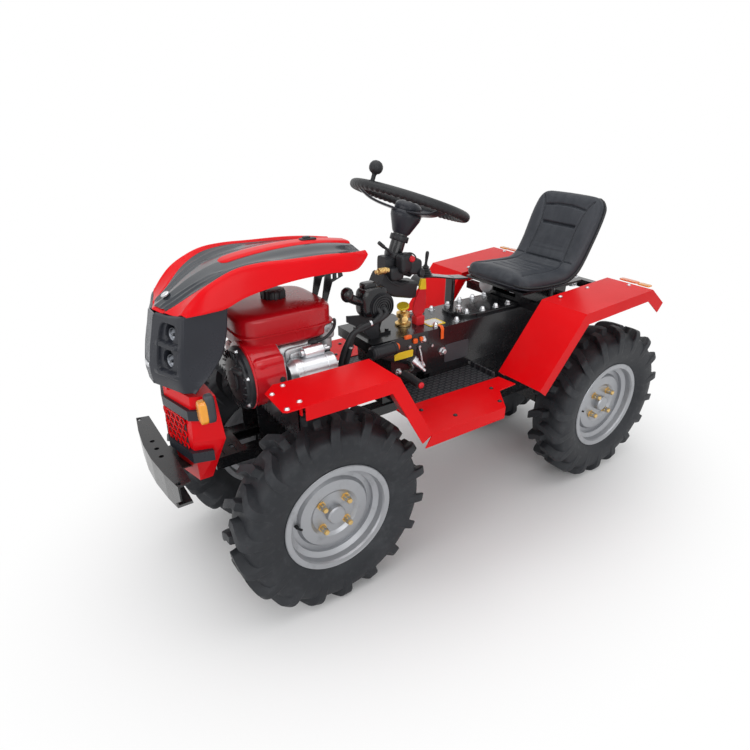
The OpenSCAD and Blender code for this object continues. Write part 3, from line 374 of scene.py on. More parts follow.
# %% Floor, world and lights
def studio():
    floor_mesh = bpy.data.meshes.new("floor")
    reach = 40.0
    floor_mesh.from_pydata([(-reach, -reach, 0), (reach, -reach, 0), (reach, reach, 0), (-reach, reach, 0)], [],
                           [(0, 1, 2, 3)])
    floor = bpy.data.objects.new("floor", floor_mesh)
    bpy.context.scene.collection.objects.link(floor)
    p = Paint("pale_floor", (0.93, 0.93, 0.935), 0.9)
    x, y, z = p.axes()
    far = ((x * x * 0.45 + y * y) ** 0.5).rise(0.40, 1.05)
    seen = p.wire("ShaderNodeLightPath", out="Is Camera Ray").most(p.wire("ShaderNodeLightPath", out="Is Glossy Ray"))
    glow = p.wire("ShaderNodeEmission", {}, {"Color": (1, 1, 1, 1), "Strength": 1.0})
    mixed = p.wire("ShaderNodeMixShader", {}, {0: far * seen, 1: Wire(p, p.shader.outputs[0]), 2: glow})
    p.set("Roughness", 0.85 + 0.1 * p.noise(12.0))
    end = next(n for n in p.tree.nodes if n.type == "OUTPUT_MATERIAL")
    p.tree.links.new(mixed.socket, end.inputs["Surface"])
    floor.data.materials.append(p.material)

    world = bpy.data.worlds.new("studio_air")
    world.use_nodes = True
    bpy.context.scene.world = world
    tree = world.node_tree
    rays, air = tree.nodes.new("ShaderNodeLightPath"), tree.nodes["Background"]
    level = tree.nodes.new("ShaderNodeMapRange")
    level.inputs["To Min"].default_value, level.inputs["To Max"].default_value = 0.36, 1.0
    kinds = [rays.outputs[k] for k in ("Is Camera Ray", "Is Glossy Ray", "Is Transmission Ray")]
    total = kinds[0]
    for kind in kinds[1:]:
        more = tree.nodes.new("ShaderNodeMath")
        more.operation = "MAXIMUM"
        tree.links.new(total, more.inputs[0])
        tree.links.new(kind, more.inputs[1])
        total = more.outputs[0]
    tree.links.new(total, level.inputs["Value"])
    tree.links.new(level.outputs[0], air.inputs["Strength"])
    air.inputs["Color"].default_value = (1, 1, 1, 1)

    lamps = [("top_light", 3.6, 58.0, (0.3, 0.2, 3.4), (0, 0, 0)),
             ("left_light", 2.6, 46.0, (0.9, 3.6, 2.0), (0, 0, 0.5)),
             ("front_light", 2.4, 34.0, (4.0, 0.4, 1.6), (0, 0, 0.5))]
    for name, size, power, at, aim in lamps:
        lamp = bpy.data.objects.new(name, bpy.data.lights.new(name, "AREA"))
        lamp.data.size, lamp.data.energy = size, power
        bpy.context.scene.collection.objects.link(lamp)
        away = unit(np.array(at) - np.array(aim))
        side = unit(np.cross([0.0, 1.0, 0.0] if abs(away[2]) > 0.9 else [0.0, 0.0, 1.0], away))
        pose = np.eye(4)
        pose[:3, 0], pose[:3, 1], pose[:3, 2], pose[:3, 3] = side, np.cross(away, side), away, at
        lamp.matrix_world = Matrix(pose.tolist())
    return [name for name, *_ in lamps]


bpy.context.scene.view_settings.view_transform = "Standard"
print("lights:", studio())

# %% [markdown]
# Every new piece is a surface worked out as a grid of points. One helper turns
# a grid into a mesh, welds its seams and poles, and hangs it on its body.

# %% From a grid of points to a piece
def grid_faces(rows, cols, wrap_rows=False, wrap_cols=False):
    """Quads between neighbouring points of a rows x cols grid, joined round where asked."""
    i = np.arange(rows if wrap_rows else rows - 1)
    j = np.arange(cols if wrap_cols else cols - 1)
    a, b = np.meshgrid(i, j, indexing="ij")
    a2, b2 = (a + 1) % rows, (b + 1) % cols
    return np.stack([a * cols + b, a2 * cols + b, a2 * cols + b2, a * cols + b2], -1).reshape(-1, 4)


def piece(name, parts, look, body="chassis", stands_for=None, smooth=True, crease=38):
    """Joins (points, faces) pairs in millimetres into one object.

    It rides on a body, or on the home of the solid that it stands for, and its slot follows from its finish."""
    weld = 1e-6
    points, faces, count = [], [], 0
    for grid, quads in parts:
        flat = np.asarray(grid, float).reshape(-1, 3)
        points.append(flat)
        faces.append(quads + count)
        count += len(flat)
    mesh = bpy.data.meshes.new(name)
    mesh.from_pydata((np.concatenate(points) * mm).tolist(), [], np.concatenate(faces).tolist())
    work = bmesh.new()
    work.from_mesh(mesh)
    bmesh.ops.remove_doubles(work, verts=work.verts, dist=weld)
    bmesh.ops.dissolve_degenerate(work, edges=work.edges, dist=weld)
    bmesh.ops.recalc_face_normals(work, faces=work.faces)
    work.to_mesh(mesh)
    work.free()
    mesh.polygons.foreach_set("use_smooth", np.full(len(mesh.polygons), smooth))
    if smooth:
        mesh.set_sharp_from_angle(angle=math.radians(crease))
    mesh.materials.append(finish[look])
    made = bpy.data.objects.new(name, mesh)
    bpy.context.scene.collection.objects.link(made)
    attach(made, home_of[stands_for] if stands_for else body)
    if stands_for:
        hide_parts(stands_for)
    return made


def flow(x, knots, values):
    """A smooth curve through knots: cubic pieces whose slopes are the mean of their neighbours'."""
    knots, values, x = np.asarray(knots, float), np.asarray(values, float), np.asarray(x, float)
    slope = np.diff(values) / np.diff(knots)
    tangent = np.concatenate([[slope[0]], (slope[1:] + slope[:-1]) / 2, [slope[-1]]])
    k = np.clip(np.searchsorted(knots, x) - 1, 0, len(knots) - 2)
    h = knots[k + 1] - knots[k]
    t = np.clip((x - knots[k]) / h, 0, 1)
    return ((2 * t**3 - 3 * t**2 + 1) * values[k] + (t**3 - 2 * t**2 + t) * h * tangent[k]
            + (3 * t**2 - 2 * t**3) * values[k + 1] + (t**3 - t**2) * h * tangent[k + 1])


def frame_of(axis):
    """Two directions square to an axis, and the axis itself, as unit rows."""
    axis = unit(axis)
    side = unit(np.cross(axis, [0, 0, 1.0] if abs(axis[2]) < 0.9 else [1.0, 0, 0]))
    return side, np.cross(axis, side), axis


def turned(profile, at, axis, steps=48, start=0.0):
    """A lathe form: radius r and height h along the axis, swept round it. (r cos a, r sin a, h)."""
    r, h = np.asarray(profile, float).T
    a = start + np.linspace(0, 2 * np.pi, steps, endpoint=False)
    u, v, w = frame_of(axis)
    ring = np.cos(a)[:, None] * u + np.sin(a)[:, None] * v
    grid = np.asarray(at, float) + ring[:, None, :] * r[None, :, None] + w * h[None, :, None]
    return grid, grid_faces(steps, len(r), wrap_rows=True)


def capped(grid, path):
    """A bar's rings with the first and last point of its path as closing rings."""
    end = lambda k: np.repeat(path[k:k + 1], grid.shape[1], 0)[None]
    return np.concatenate([end(0), grid, end(len(path) - 1)])


def pin(r, h, at, axis, steps=24, dome=1.0):
    """A plain round or six-sided stud whose end rises a little to the middle."""
    return turned([(0, 0), (r, 0), (r, h), (0, h + dome)], at, axis, steps)


def band(r0, r1, h, at, axis, steps):
    """A flat ring: from radius r0 to r1, h high."""
    return turned([(r0, 0), (r1, 0), (r1, h), (r0, h), (r0, 0)], at, axis, steps)


def along(path, radius, sides=16, closed=False, flat=1.0):
    """A round bar carried along a path; its ring stays square to the path. Ends close to a point."""
    path = np.asarray(path, float)
    ahead = unit(np.roll(path, -1, 0) - np.roll(path, 1, 0) if closed else np.gradient(path, axis=0))
    helper = np.array([0, 0, 1.0]) if np.abs(ahead[:, 2]).max() < 0.95 else np.array([0, 1.0, 0])
    side = unit(np.cross(ahead, helper))
    over = np.cross(side, ahead)
    a = np.linspace(0, 2 * np.pi, sides, endpoint=False)
    radius = np.broadcast_to(np.asarray(radius, float), (len(path),))[:, None, None]
    grid = path[:, None, :] + radius * (np.cos(a)[None, :, None] * side[:, None, :]
                                        + flat * np.sin(a)[None, :, None] * over[:, None, :])
    if not closed:
        grid = capped(grid, path)
    return grid, grid_faces(len(grid), sides, wrap_rows=closed, wrap_cols=True)


def bent(points, steps=40):
    """A smooth path through a few points."""
    points = np.asarray(points, float)
    s = np.concatenate([[0], np.cumsum(np.linalg.norm(np.diff(points, axis=0), axis=1))])
    t = np.linspace(0, s[-1], steps)
    return np.stack([flow(t, s, points[:, i]) for i in range(3)], 1)


def rounded_block(centre, size, power=7.0, rows=28, cols=48, turn=0.0):
    """A box with soft edges: |x/a|^p + |y/b|^p + |z/c|^p = 1, on a latitude and longitude grid."""
    lat = np.linspace(-np.pi / 2, np.pi / 2, rows)[:, None]
    lon = np.linspace(0, 2 * np.pi, cols, endpoint=False)[None, :]
    x, y, z = np.cos(lat) * np.cos(lon), np.cos(lat) * np.sin(lon), np.sin(lat) * np.ones_like(lon)
    grid = np.stack([x, y, z], -1) * swell(power, x, y, z)[..., None] * (np.asarray(size, float) / 2)
    c, s = math.cos(turn), math.sin(turn)
    grid = np.stack([grid[..., 0] * c - grid[..., 1] * s, grid[..., 0] * s + grid[..., 1] * c, grid[..., 2]], -1)
    return grid + np.asarray(centre, float), grid_faces(rows, cols, wrap_cols=True)


print("surface helpers ready")

# %% [markdown]
# A lugged tyre is one closed ring surface. Every point lies between the bare
# carcass and the top of the lugs, and the grid is swept back along the bars, so
# that their slanted edges follow its lines and stay sharp.

# %% Tyres
steps_round, tread_lugs, arc_r = 720, 18, 285.0
wheel_y, axle_z = 251, 301
lug_lead, lug_crossing, lug_edge = 12, 8, 4.4
half_profile = np.linspace(0, 1, 34)
stations = [0, 0.30, 0.42, 0.50, 0.57, 0.66, 0.74, 0.84, 0.94, 1.0]
carcass = flow(half_profile, stations, [277, 274.5, 268, 260, 250, 236, 220, 196, 168, 152.6]), \
    flow(half_profile, stations, [0, 45, 62, 69.5, 72.5, 74.6, 74.6, 70, 56, 50])
lug_top = flow(half_profile, stations, [301, 300.6, 296, 281, 262, 236, 220, 196, 168, 152.6]), \
    flow(half_profile, stations, [0, 45, 63.5, 74, 76.2, 76.6, 75, 70, 56, 50])
ribs = 1.4 * np.exp(-((carcass[0] - 205) / 2.2) ** 2) + 1.2 * np.exp(-((carcass[0] - 178) / 2.0) ** 2)


def tyre(axle_x, side):
    """Radius and width run from carcass to lug top by a 0-to-1 mask: inside a bar's edges and past the middle."""
    def whole(half, sign): return np.concatenate([half[::-1], sign * half[1:]])
    bare_r, bare_w = whole(carcass[0], 1), whole(carcass[1] + ribs, -1)
    high_r, high_w = whole(lug_top[0], 1), whole(lug_top[1] + ribs, -1)
    outward = np.maximum.accumulate(np.clip(lug_top[1] - 17, 0, 60)) * 0.575
    sweep = whole(outward, 1)
    a = np.arange(steps_round) * 2 * np.pi / steps_round
    turn = a / (2 * np.pi) * tread_lugs
    pitch = 2 * np.pi * arc_r / tread_lugs
    rise = lambda d: np.clip(d / lug_edge + 0.5, 0, 1)
    ramp = lambda d: rise(d) ** 2 * (3 - 2 * rise(d))
    mask = np.zeros((steps_round, len(bare_r)))
    for phase, hand in ((0.25, 1), (0.75, -1)):
        u = ((turn - phase + 0.35) % 1.0 - 0.35)[:, None] * pitch
        w = hand * high_w[None, :]
        trail = np.clip(14 + w * 0.08, 13, 18.5)
        mask = np.maximum(mask, ramp(u + lug_lead) * ramp(trail - u) * ramp(w + lug_crossing))
    r = bare_r + (high_r - bare_r) * mask
    w = bare_w + (high_w - bare_w) * mask
    turn_by = a[:, None] + sweep / arc_r
    lining = np.array([[153, -34], [192, -58], [222, -63.5], [255, -58], [261, -40], [266, 0],
                       [261, 40], [255, 58], [222, 63.5], [192, 58], [153, 34]], float)
    widen = lambda grid, more: np.concatenate([grid, np.broadcast_to(more, (steps_round, len(lining)))], 1)
    r, w, turn_by = widen(r, lining[:, 0]), widen(w, lining[:, 1]), widen(turn_by, a[:, None])
    grid = np.stack([axle_x + r * np.cos(turn_by), side * (wheel_y + w), axle_z - r * np.sin(turn_by)], -1)
    return grid, grid_faces(steps_round, r.shape[1], wrap_rows=True, wrap_cols=True)


wheel_places = {"front_left": (538, 1), "front_right": (538, -1), "rear_left": (-645, 1), "rear_right": (-645, -1)}
for where, (axle_x, side) in wheel_places.items():
    made = piece("tyre_skin_" + where, [tyre(axle_x, side)], "tyre", stands_for="tyre_" + where, crease=50)
print("tyre:", len(made.data.polygons), "faces each")

# %% [markdown]
# The rims keep their solids. Each gets a lip bead, a valve, long brass nuts on
# its studs and a ridged hub cover, which a plain solid of a wheel leaves out.

# %% Wheel fittings
stud_r, disc_out = 55, 24.4
lip = [(165.2, 59.0), (167.6, 60.4), (169.0, 58.6), (167.6, 56.4), (165.2, 57.4)]
cap = [(0, 0), (24, 0), (24, 8), (21, 11), (10, 12), (9, 16), (0, 16.5)]
nut = [(0, 0), (14, 0), (14, 2), (10.5, 2.4), (10.5, 14), (9.4, 15), (9.2, 26), (7.5, 29), (0, 29)]
for where, (axle_x, side) in wheel_places.items():
    off = lambda dx, out: (axle_x + dx, side * (wheel_y + out), axle_z)
    out_axis = (0, side, 0)
    piece("rim_lip_" + where, [turned(lip + lip[:1], off(0, 0), out_axis, steps=120)], "rim", body="wheel_" + where)
    spots = [(axle_x + stud_r * math.cos(a), side * (wheel_y + disc_out), axle_z - stud_r * math.sin(a))
             for a in np.radians([45, 135, 225, 315])]
    nuts = [turned(nut, at, out_axis, steps=6) for at in spots]
    piece("wheel_nuts_" + where, nuts, "brass", body="wheel_" + where, crease=30)
    ridge = [rounded_block(off(0, 41), size, 4.0, 14, 28) for size in ((40, 5, 7), (7, 5, 40))]
    piece("hub_cover_" + where, [turned(cap, off(0, 26), out_axis, steps=40)] + ridge, "bright_metal",
          body="wheel_" + where, crease=30)
    stem = along(bent([off(118, 20), off(116, 34), off(110, 44)], 14), [5] * 6 + [3.4] * 8, 12)
    piece("valve_stem_" + where, [stem], "grip", body="wheel_" + where)
print("wheel fittings on", len(wheel_places), "wheels")

# %% [markdown]
# The hood is a curved shell: heights are given at stations along it, and a
# smooth curve across joins crown, shoulder and side. The middle is dark.

# %% Hood surface
crown = ([312, 366, 438, 530, 610, 657, 710, 760, 800, 830, 850, 862],
         [980, 988, 994, 993, 986, 979, 966, 946, 924, 906, 895, 888])
shoulder = ([312, 366, 438, 545, 630, 685, 735, 790, 830, 862], [972, 977, 983, 986, 988, 983, 968, 944, 918, 893])
lower = ([312, 362, 445, 530, 590, 640, 690, 735, 780, 862], [968, 945, 948, 947, 942, 935, 924, 909, 905, 898])
breadth = ([312, 362, 438, 545, 740, 790, 862], [118, 144, 150, 152, 152, 148, 132])
across_knots = np.array([0, 0.35, 0.6, 0.78, 0.86, 0.94, 1.0])


def hood_surface(x, s, lift=0.0):
    """Points over stations x and spans s: each cross-section is one smooth curve through seven heights."""
    x, s = np.asarray(x, float), np.asarray(s, float)
    c, sh, lo, w = (flow(x, *table) for table in (crown, shoulder, lower, breadth))
    heights = np.stack([c, c - 3, (c + sh) / 2 - 6, sh - 5, sh, sh - (sh - lo) * 0.32, lo], 1)
    basis = np.stack([flow(np.abs(s), across_knots, row) for row in np.eye(7)], 0)
    z = heights @ basis + lift
    back = 42 * np.abs(s)[None, :] * (np.clip(x - 650, 0, None)[:, None] / 212) ** 2
    return np.stack([x[:, None] - back, w[:, None] * s[None, :], z], -1)


def shell(top, wall):
    """Closes a sheet: its underside lies a wall lower, and the two meet along every edge."""
    under = top - np.array([0, 0, 1.0]) * wall
    under[0], under[-1] = top[0], top[-1]
    loop = np.concatenate([top, under[:, ::-1]], 1)
    return loop, grid_faces(len(loop), loop.shape[1], wrap_cols=True)


hood_rear, hood_nose = 312, 862
along_hood = np.concatenate([np.linspace(hood_rear, 700, 60), np.linspace(706, hood_nose, 50)])
spans = np.concatenate([np.linspace(-1, -0.74, 34), np.linspace(-0.72, 0.72, 60), np.linspace(0.74, 1, 34)])
skin = hood_surface(along_hood, spans)
edge = flow(along_hood, [hood_rear, 690, 760, 815, hood_nose], [0.765, 0.765, 0.65, 0.46, 0.33])
step_out = np.clip((np.abs(spans)[None, :] - edge[:, None]) / 0.04, 0, 1)
skin[:, :, 2] += -1.6 + 4.6 * step_out * np.clip((1.0 - np.abs(spans)) / 0.10, 0, 1)[None, :]
closed_skin, skin_faces = shell(skin, 3.6)
piece("hood_skin", [(closed_skin, skin_faces)], "red_shell", stands_for="hood", crease=60)
print("hood:", skin.shape[0], "stations by", skin.shape[1], "spans")

# %% [markdown]
# The dark panel lies between the shoulders. Towards the nose it carries moulded
# ridges, and a raised red strip with round ends runs down its middle.

# %% Hood panel and strip
panel_x = np.concatenate([np.linspace(316, 700, 80), np.linspace(703, 855, 90)])
panel_v = np.linspace(-1, 1, 181)
panel_half = flow(panel_x, [316, 690, 760, 815, 855], [0.775, 0.775, 0.66, 0.47, 0.34])
panel = np.concatenate([hood_surface([x], half * panel_v, 1.4) for x, half in zip(panel_x, panel_half)])
y = panel[..., 1]
x = panel[..., 0]
crest = flow(x, [560, 620, 680, 740, 800, 850], [112, 100, 89, 74, 53, 36])
inner_crest = flow(x, [700, 760, 800, 850], [60, 45, 32, 20])
fade = lambda x0, x1: np.clip((x - x0) / 40, 0, 1) * np.clip((x1 - x) / 12, 0, 1)
panel[..., 2] += 5.0 * fade(560, 850) * np.exp(-np.abs((np.abs(y) - crest) / 6.0) ** 2.4)
panel[..., 2] += 3.4 * fade(690, 850) * np.exp(-np.abs((np.abs(y) - inner_crest) / 4.5) ** 2.4)
panel[..., 2] -= 2.2 * fade(330, 720) * np.exp(-((np.abs(y) - 70) / 22) ** 2)
panel[..., 2] -= 2.4 * np.clip((np.abs(panel_v) - 0.975) / 0.025, 0, 1)[None, :]
piece("hood_dark_panel", [shell(panel, 1.6)], "dark_shell", stands_for="hood_panel", crease=35)

strip_x, strip_v = np.linspace(314, 684, 120), np.linspace(-1, 1, 41)
end = np.sqrt(np.clip(1 - (np.clip(strip_x - 660, 0, None) / 24) ** 2, 0.0, 1))
half = np.maximum(flow(strip_x, [314, 500, 684], [30, 28, 26]) * end, 0.05)
mid = hood_surface(strip_x, np.linspace(-0.2, 0.2, 3), 1.4)[:, 1, :]
strip = np.stack([mid[:, None, 0] + 0 * strip_v, half[:, None] * strip_v, mid[:, None, 2] + 0 * strip_v], -1)
strip[..., 2] += 5.5 * end[:, None] * (1 - np.abs(strip_v) ** 5)[None, :] - 1.2
piece("hood_red_strip", [shell(strip, 2.0)], "red_shell", body="hood", crease=50)
latch = [rounded_block((430, 0, 999), (46, 24, 9), 6.0), rounded_block((434, 0, 1004), (20, 14, 8), 5.0)]
piece("hood_latch", latch, "grip", body="hood")
lock = [turned([(0, 0), (11, 0), (11, 3), (9, 4.5), (4, 4.5), (3.4, 3.2), (0, 3.2)],
               (824, 0, 914.5), (0.45, 0, 0.9), 40)]
piece("hood_lock", lock, "bright_metal", body="hood", crease=30)
print("panel, strip, latch and lock in place")

# %% [markdown]
# Each bezel is a moulded cheek. Its front holds a framed recess with two lamp
# pockets, a shelf between them and a lip below: all one sheet, pushed in by a
# depth map, then given a wall by Solidify.

# %% Bezels
def soft_box(f, z, centre, half, power=4.0, edge=2.5):
    """1 inside a rounded box, 0 outside: (|f/a|^p + |z/b|^p)^(1/p) against 1, over an edge in mm."""
    away = (np.abs((f - centre[0]) / half[0]) ** power + np.abs((z - centre[1]) / half[1]) ** power) ** (1 / power)
    return np.clip((1 - away) * min(half) / edge + 0.5, 0, 1)


def cheek(side):
    """Plan curve from tip to corner to rear edge at each height, minus the depth map along the face's normal."""
    u = np.concatenate([np.linspace(0, 0.62, 110), np.linspace(0.63, 0.80, 24), np.linspace(0.82, 1, 22)])
    top = flow(u, [0, 0.31, 0.62, 0.78, 1.0], [882.5, 885, 894, 897.5, 907])
    height = 704 + (top - 704)[None, :] * np.linspace(0, 1, 120)[:, None]
    front = flow(height, [704, 735, 786, 882, 908], [893, 897, 890, 864, 858])
    rear = flow(height, [704, 718, 735, 760, 786, 830, 905], [829, 815, 795, 772, 752, 735, 722])
    lean = (front - 864) * 0.7
    spot = lambda x, y: np.stack([x, y + 0 * x], -1)
    tip, out, back, end = spot(front, 22), spot(830 + lean, 120), spot(818 + lean * 0.8, 130), spot(rear, 141)
    knots = [0, 0.31, 0.62, 0.70, 0.78, 1.0]
    stops = np.stack([tip, (tip + out) / 2, out, (out + back) / 2 + 1.2, back, end], 2)
    plan = np.stack([flow(u, knots, row) for row in np.eye(6)], 1)
    grid = np.einsum("uk,zukc->zuc", plan, stops)
    face = unit(out - tip)
    f = np.linalg.norm(grid - tip, axis=2)
    frame_in = soft_box(f, height, (64, 805), (37, 63), 5.0)
    shelf = soft_box(f, height, (63, 816), (38, 5.5), 6.0)
    lower_lip = soft_box(f, height, (62, 745), (38, 5.5), 6.0)
    pocket = np.maximum(soft_box(f, height, (60, 845), (17, 21), 2.6, 4),
                        soft_box(f, height, (60, 780), (17, 21), 2.6, 4))
    deep = 8.0 * frame_in * (1 - shelf) * (1 - lower_lip) + 18.0 * pocket - 3.0 * shelf - 3.5 * lower_lip
    deep = deep * (u[None, :] < 0.66)
    inward = -np.stack([face[..., 1], -face[..., 0]], -1)
    deep = deep + 9.0 * np.clip((np.linspace(0, 1, 120)[:, None] - 0.965) / 0.035, 0, 1) ** 2
    grid = grid + deep[..., None] * inward
    return np.stack([grid[..., 0], side * grid[..., 1], height], -1), grid_faces(120, len(u))


def solidified(made, wall):
    made.modifiers.new("wall", "SOLIDIFY").thickness = wall * mm
    made.modifiers["wall"].offset = 0
    return made


bezel = piece("nose_cheeks", [cheek(1), cheek(-1)], "dark_plastic", stands_for="nose_bezel", crease=40)
solidified(bezel, 2.6)
print("bezel:", len(bezel.data.polygons), "faces before its wall")

# %% Lamps in their pockets
dishes, bulbs = [], []
for side in (1, -1):
    for x, z in ((842, 840), (857, 775)):
        facing = np.array([0.92, side * 0.36, 0.12])
        at = np.array([x, side * 78, z]) - facing * 6
        dishes.append(turned([(0, -5), (6, -5), (11, -2), (15.5, 4), (16.5, 4.2), (16.5, 2), (0, -7)], at, facing,
                             40))
        bulbs.append(turned([(0, 8), (3.4, 7), (4.4, 3), (4.4, -5), (0, -5)], at, facing, 20))
piece("lamp_dishes", dishes, "reflector", stands_for="headlamps", crease=30)
piece("lamp_bulbs", bulbs, "lamp_glass", body="hood")
piece("grille_clip", [rounded_block((897.5, 0, 752), (5, 34, 13), 5.0)], "bright_metal", body="hood")
print("lamps:", len(dishes))

# %% [markdown]
# The lower grille is a net of six-sided rings over a dark sheet of painted shade,
# seen through its holes; both are bent at the middle. Under each front fender's
# tongue hangs a bracket with a row of teeth.

# %% Grille net and toothed brackets
face_x = lambda y: -27 * np.abs(y) / 118
ring_pitch, row_pitch, half_net = 21.5, 18.6, 92
net = []
for row in range(6):
    for col in range(-4, 5):
        y = ring_pitch * (col + 0.5 * (row % 2))
        if abs(y) < half_net:
            facing = (1, 0.23 * np.sign(y), 0)
            net.append(turned([(9.4, 0), (9.4, 4), (11.6, 4), (11.6, 0), (9.4, 0)],
                              (876.5 + face_x(y), y, 538 + row_pitch * row), facing, 6, 0.0))
# painted shade: a dark sheet right behind the net stands for the shade seen through its rings
wide = np.linspace(-96, 96, 65)
shade_sheet = np.stack([np.stack([877.2 + face_x(wide) + dx, wide, z + 0 * wide], 1) for dx, z in
                ((-2, 522), (0, 522), (0, 646), (-2, 646))])
piece("grille_shade_sheet", [(shade_sheet, grid_faces(4, 65, wrap_rows=True))], "grip", smooth=False)
piece("grille_net", net, "red_sheet", crease=30)
tooth_start, tooth_end, tooth_pitch, tooth_depth = 74, 284, 17.5, 13
across = np.linspace(tooth_start, 337, 160)
high = np.interp(across, [tooth_start, 201, 245, 337], [612, 676, 716, 716])
saw = np.abs((across - tooth_start) / tooth_pitch % 1.0 - 0.5) * 2
low = np.interp(across, [tooth_start, tooth_end, 337], [602, 602, 640]) + tooth_depth * saw * (across < tooth_end)
low = np.minimum(low, high - 1)
line = lambda x, z: np.stack([x + 0 * across, across, z], 1)
comb = np.stack([line(650, high), line(654, high), line(654, low), line(650, low)], 1)
pair = [(comb * [1, side, 1], grid_faces(160, 4, wrap_cols=True)) for side in (1, -1)]
piece("toothed_brackets", pair, "black_frame", smooth=False)
print("rings in the net:", len(net), "teeth:", round((tooth_end - tooth_start) / tooth_pitch))

# %% [markdown]
# The fuel tank is two pressed bowls joined by a flange; the upper one is a
# soft-edged box, drawn in all round near its top. The cap is ribbed.

# %% Fuel tank
tank_x, tank_y, tank_half_x, tank_half_y = 555, 9, 135, 119


def tank_bowl(z0, z1, grow, power):
    """A superellipse plan at each height, drawn in near the closed end by a quarter-round."""
    rows, cols = 26, 96
    a = np.linspace(0, 2 * np.pi, cols, endpoint=False)[None, :]
    t = np.linspace(0, 1, rows)[:, None]
    fall = np.clip((t - 0.70) / 0.30, 0, 1)
    inset = 24 * (1 - np.sqrt(np.clip(1 - fall**2, 0, 1)))
    c, s = np.cos(a), np.sin(a)
    reach = swell(power, c, s)
    x = tank_x + (tank_half_x + grow - inset) * c * reach
    y = tank_y + (tank_half_y + grow - inset) * s * reach
    z = z0 + (z1 - z0) * t + 0 * a
    lid = np.stack([tank_x + 0 * a, tank_y + 0 * a, z1 + 0 * a], -1)
    return np.concatenate([np.stack([x, y, z], -1), lid]), grid_faces(rows + 1, cols, wrap_cols=True)


tank = [tank_bowl(804, 856, 0.0, 5.0), tank_bowl(805, 765, -1.0, 5.0), tank_bowl(802, 806.5, 4.0, 6.0)]
piece("fuel_tank_skin", tank, "tank_red", stands_for="fuel_tank", crease=45)
a = np.linspace(0, 2 * np.pi, 120, endpoint=False)
flute = 33 + 1.3 * np.sign(np.sin(a * 15))
cap_rows = [(0, 857), (1.0, 857), (1.0, 873), (0.9, 878), (0.6, 880), (0.0, 880)]
cap_grid = np.stack([np.stack([540 + r * flute * np.cos(a), -10 + r * flute * np.sin(a), z + 0 * a], -1)
                     for r, z in cap_rows])
piece("tank_cap", [(cap_grid, grid_faces(len(cap_rows), 120, wrap_cols=True))], "cover_black")
print("tank and cap ready")

# %% [markdown]
# The engine's block, shroud and recoil cover are turned and rounded forms in
# place of plainer solids. Small iron goes on them: bands and a terminal on the
# starter, a spark-plug lead, a carburettor, screws and a pull handle.

# %% Engine details
can = [(0, 0), (14, 0), (16, 3), (30, 4), (32, 7), (32, 26), (33.6, 27), (33.6, 31), (32, 32)]
can += [(32, 100), (33.6, 101), (33.6, 105), (35.5, 107), (35.5, 122), (30, 128), (24, 139), (0, 139)]
starter = turned(can, (455, 163.3, 704), (1, 0, 0), 72)
solenoid = turned([(0, 0), (7, 0), (7, 6), (14, 7), (16, 9), (16, 62), (15, 64), (9, 65), (9, 72), (0, 74)],
                  (478, 155.3, 748), (1, 0, 0), 48)
studs = [pin(3.6, 12, (480, 155.3 + d, 751), (-1, 0.1, 0), 16, 0) for d in (-7, 7)]
piece("starter_motor_body", [starter, solenoid] + studs, "bright_metal", stands_for="starter_motor", crease=30)
fan_y, fan_z = 100, 697
shroud = turned([(0, 0), (62, 0), (84, 8), (88, 18), (88, 90), (90, 91), (91.5, 94), (90, 97), (84, 99), (0, 99)],
                (594, 95, 700), (1, 0, 0), 120)
piece("fan_shroud", [shroud, rounded_block((642, 140, 722), (92, 68, 86), 6.0),
                     rounded_block((660, 20, 716), (60, 110, 92), 5.0)],
      "red_engine", stands_for="engine", crease=40)
engine_parts = [rounded_block((537, 57, 708), (138, 142, 116), 9.0),
                rounded_block((540, -76, 720), (112, 148, 66), 8.0),
                pin(14, 60, (412, 62, 714), (1, 0, 0), 24, 0), pin(11, 9, (560, 128, 690), (0, 1, 0), 6)]
engine_parts += [rounded_block((540, -148 + 14 * k, 721), (136, 4, 90), 9.0, 14, 32) for k in range(9)]
piece("engine_block", engine_parts, "cast_metal", crease=40)
dome = [(0, 0), (84, 0), (85, 3), (84, 12), (76, 16), (74, 22), (60, 24), (56, 26), (30, 27), (27, 31), (0, 32)]
lid = [turned(dome, (690, fan_y, fan_z), (1, 0, 0), 96)]
for t in np.radians(np.arange(0, 360, 15)):
    at = np.array([714, fan_y + 66 * math.cos(t), fan_z + 66 * math.sin(t)])
    lid.append(along(at + np.outer([-13, 13], [0.06, math.cos(t + 0.6), math.sin(t + 0.6)]), 2.4, 8))
piece("recoil_cover", lid, "cover_black", stands_for="fan_cover", crease=32)
plug = turned([(0, 0), (11, 0), (11, 4), (8, 6), (8, 12), (0, 13)], (617, 172, 703), (0, 1, 0), 24)
screw = [(0, 0), (7, 0), (7, 2), (5, 2.2), (5, 6), (3, 7), (0, 7)]
cover_screws = [turned(screw, (704.5, fan_y + 80 * math.cos(t), fan_z + 80 * math.sin(t)), (1, 0, 0), 6)
                for t in np.radians(np.arange(20, 380, 60))]
piece("recoil_screws", cover_screws, "bright_metal", crease=30)
pull = [turned([(0, 0), (13, 0), (15, 4), (15, 9), (9, 13), (0, 14)], (709, 142, 738), (0.9, 0.2, 0.3), 28),
        rounded_block((723, 152, 742), (16, 44, 15), 3.0, turn=0.2), plug]
piece("recoil_handle", pull, "grip", crease=40)
lead = along(bent([(500, 128, 760), (470, 146, 772), (440, 140, 790), (418, 110, 800), (402, 70, 786)], 30), 4.2, 12)
piece("plug_lead", [lead, turned([(0, 0), (9, 0), (9, 18), (6, 24), (0, 26)], (505, 122, 756), (-0.7, 0.6, 0.3), 24)],
      "grip")
cyl_head = [rounded_block((540, 128, 728), (88, 16, 60), 6.0), rounded_block((540, 137, 728), (66, 10, 40), 6.0)]
piece("cylinder_fins", cyl_head, "cast_metal", crease=40)
